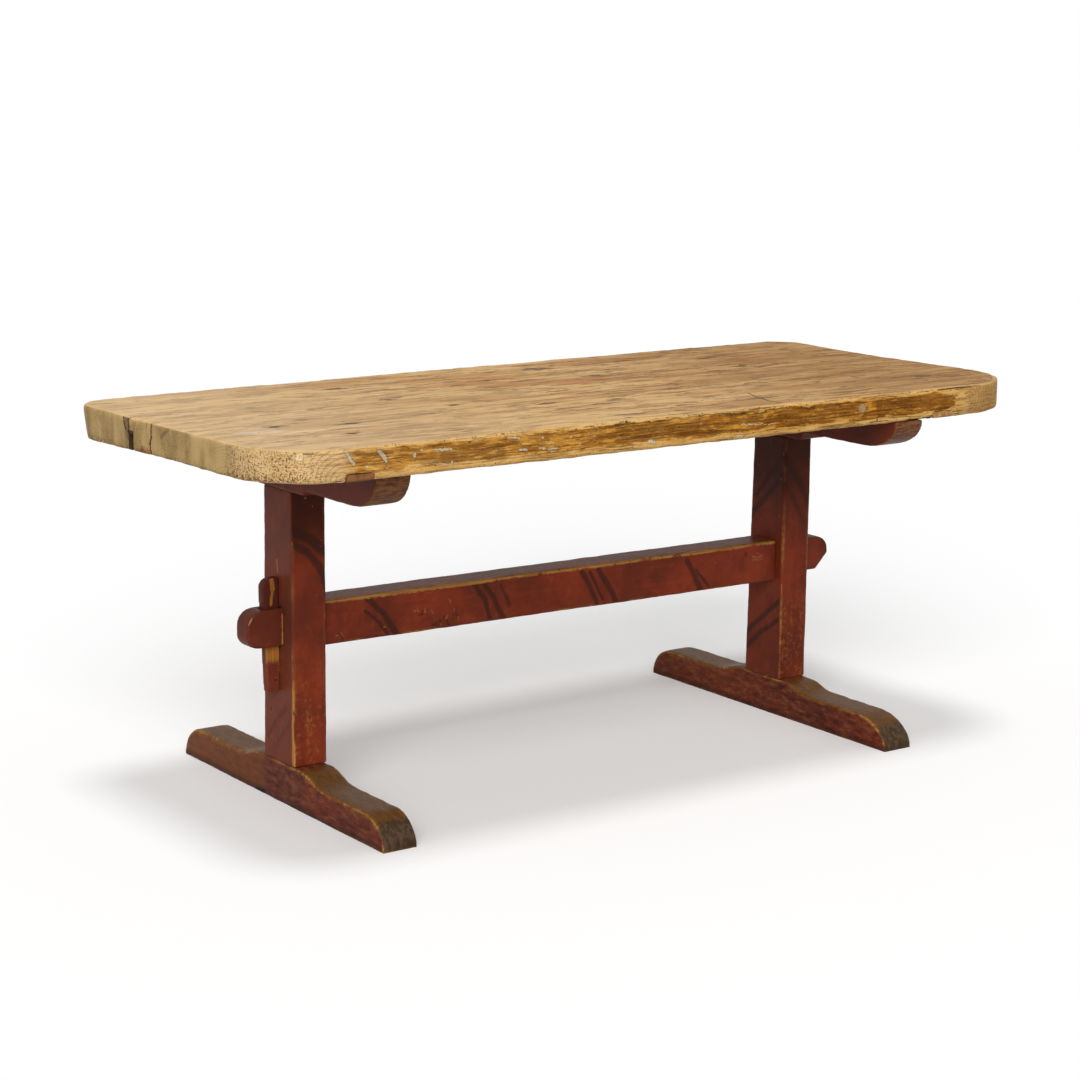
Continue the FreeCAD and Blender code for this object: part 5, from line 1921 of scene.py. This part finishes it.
# The two lamps: direction they shine in, and spread in degrees
OVERHEAD_LAMP = ((0, 0, -1), 14)
FRONT_LAMP = ((0.50, 0.70, -0.50), 44)


def seen_directly(nodes, links):
    """Socket that is 1 for rays from the camera or through a gloss or glass surface."""
    path = nodes.new("ShaderNodeLightPath")
    total = path.outputs["Is Camera Ray"]
    for name in ("Is Glossy Ray", "Is Transmission Ray"):
        most = nodes.new("ShaderNodeMath")
        most.operation = "MAXIMUM"
        links.new(total, most.inputs[0])
        links.new(path.outputs[name], most.inputs[1])
        total = most.outputs[0]
    return total


def floor_finish(colour):
    """Pale floor that the camera sees as white, with the table's shadow on it."""
    material = bpy.data.materials.new("pale_floor")
    material.use_nodes = True
    nodes = material.node_tree.nodes
    links = material.node_tree.links
    nodes.clear()
    plain = nodes.new("ShaderNodeBsdfDiffuse")
    plain.inputs["Color"].default_value = (*colour, 1)
    shaded = nodes.new("ShaderNodeBsdfDiffuse")
    shaded.inputs["Color"].default_value = (CAMERA_FLOOR, CAMERA_FLOOR, CAMERA_FLOOR, 1)
    glow = nodes.new("ShaderNodeEmission")
    glow.inputs["Strength"].default_value = CAMERA_GLOW
    both = nodes.new("ShaderNodeAddShader")
    links.new(shaded.outputs[0], both.inputs[0])
    links.new(glow.outputs[0], both.inputs[1])
    choice = nodes.new("ShaderNodeMixShader")
    links.new(seen_directly(nodes, links), choice.inputs["Fac"])
    links.new(plain.outputs[0], choice.inputs[1])
    links.new(both.outputs[0], choice.inputs[2])
    output = nodes.new("ShaderNodeOutputMaterial")
    links.new(choice.outputs[0], output.inputs["Surface"])
    return material


def studio_world(strength):
    """Even soft light all round, behind which the camera sees white."""
    world = bpy.data.worlds.new("studio")
    world.use_nodes = True
    nodes = world.node_tree.nodes
    links = world.node_tree.links
    nodes.clear()
    light = nodes.new("ShaderNodeBackground")
    light.inputs["Strength"].default_value = strength
    light.inputs["Color"].default_value = (1, 1, 1, 1)
    white = nodes.new("ShaderNodeBackground")
    white.inputs["Color"].default_value = (1, 1, 1, 1)
    choice = nodes.new("ShaderNodeMixShader")
    links.new(seen_directly(nodes, links), choice.inputs["Fac"])
    links.new(light.outputs[0], choice.inputs[1])
    links.new(white.outputs[0], choice.inputs[2])
    output = nodes.new("ShaderNodeOutputWorld")
    links.new(choice.outputs[0], output.inputs["Surface"])
    bpy.context.scene.world = world


def soft_sun(name, direction, spread, strength):
    """Distant lamp that shines along a direction; a wide spread makes its shadow soft."""
    data = bpy.data.lights.new(name, "SUN")
    data.angle = math.radians(spread)
    data.energy = strength
    lamp = bpy.data.objects.new(name, data)
    bpy.context.scene.collection.objects.link(lamp)
    lamp.rotation_euler = Vector(direction).to_track_quat("-Z", "Y").to_euler()


def add_camera():
    """Camera with the photograph's angle and lens."""
    right = Vector((math.cos(CAMERA_YAW), -math.sin(CAMERA_YAW), 0))
    forward = Vector((math.sin(CAMERA_YAW) * math.cos(CAMERA_PITCH),
                      math.cos(CAMERA_YAW) * math.cos(CAMERA_PITCH), -math.sin(CAMERA_PITCH)))
    up = right.cross(forward)
    image_right = right * math.cos(CAMERA_ROLL) + up * math.sin(CAMERA_ROLL)
    image_up = up * math.cos(CAMERA_ROLL) - right * math.sin(CAMERA_ROLL)
    data = bpy.data.cameras.new("camera")
    data.sensor_width = SENSOR
    data.lens = FOCAL_PIXELS / PHOTO_PIXELS * SENSOR
    camera = bpy.data.objects.new("camera", data)
    turn = Matrix((image_right, image_up, -forward)).transposed().to_4x4()
    turn.translation = CAMERA_PLACE
    camera.matrix_world = turn
    bpy.context.scene.collection.objects.link(camera)
    bpy.context.scene.camera = camera


class TABLE_OT_stage(bpy.types.Operator):
    """Pale floor, soft studio light and the camera"""
    bl_idname = "trestle_table.stage"
    bl_label = "Stage"

    def execute(self, context):
        settings = context.scene.trestle_table_stage
        bpy.ops.object.select_all(action="DESELECT")
        bpy.ops.mesh.primitive_plane_add(size=FLOOR_REACH, location=(0, 0, 0))
        floor = bpy.context.object
        floor.name = "floor"
        floor.data.materials.append(floor_finish(settings.floor))
        studio_world(settings.sky)
        soft_sun("overhead_light", *OVERHEAD_LAMP, settings.overhead)
        soft_sun("front_light", *FRONT_LAMP, settings.front)
        add_camera()
        context.scene.view_settings.view_transform = "Standard"
        return {"FINISHED"}


class TABLE_PT_builder(bpy.types.Panel):
    """Lists the table's pieces and their settings"""
    bl_label = "Trestle Table"
    bl_idname = "TABLE_PT_builder"
    bl_space_type = "VIEW_3D"
    bl_region_type = "UI"
    bl_category = "Trestle Table"

    def draw(self, context):
        scene = context.scene
        for settings in (scene.trestle_table_top, scene.trestle_table_base, scene.trestle_table_stage):
            box = self.layout.box()
            for name in settings.bl_rna.properties.keys():
                if name not in ("rna_type", "name"):
                    box.prop(settings, name)
        for operator in OPERATORS:
            self.layout.operator(operator.bl_idname)


OPERATORS = (
    TABLE_OT_stage,
    TABLE_OT_feet,
    TABLE_OT_posts,
    TABLE_OT_bearers,
    TABLE_OT_stretcher,
    TABLE_OT_tusk_wedges,
    TABLE_OT_top_boards,
    TABLE_OT_top_keys,
    TABLE_OT_edge_pegs,
    TABLE_OT_inner_joinery,
)
CLASSES = (TopSettings, BaseSettings, StageSettings) + OPERATORS + (TABLE_PT_builder,)


def register():
    for cls in CLASSES:
        bpy.utils.register_class(cls)
    bpy.types.Scene.trestle_table_top = PointerProperty(type=TopSettings)
    bpy.types.Scene.trestle_table_base = PointerProperty(type=BaseSettings)
    bpy.types.Scene.trestle_table_stage = PointerProperty(type=StageSettings)


def unregister():
    del bpy.types.Scene.trestle_table_stage
    del bpy.types.Scene.trestle_table_base
    del bpy.types.Scene.trestle_table_top
    for cls in reversed(CLASSES):
        bpy.utils.unregister_class(cls)


def main():
    register()
    bpy.ops.trestle_table.stage()
    bpy.ops.trestle_table.feet()
    bpy.ops.trestle_table.posts()
    bpy.ops.trestle_table.bearers()
    bpy.ops.trestle_table.stretcher()
    bpy.ops.trestle_table.tusk_wedges()
    bpy.ops.trestle_table.top_boards()
    bpy.ops.trestle_table.top_keys()
    bpy.ops.trestle_table.edge_pegs()
    bpy.ops.trestle_table.inner_joinery()


if __name__ == "__main__":
    main()
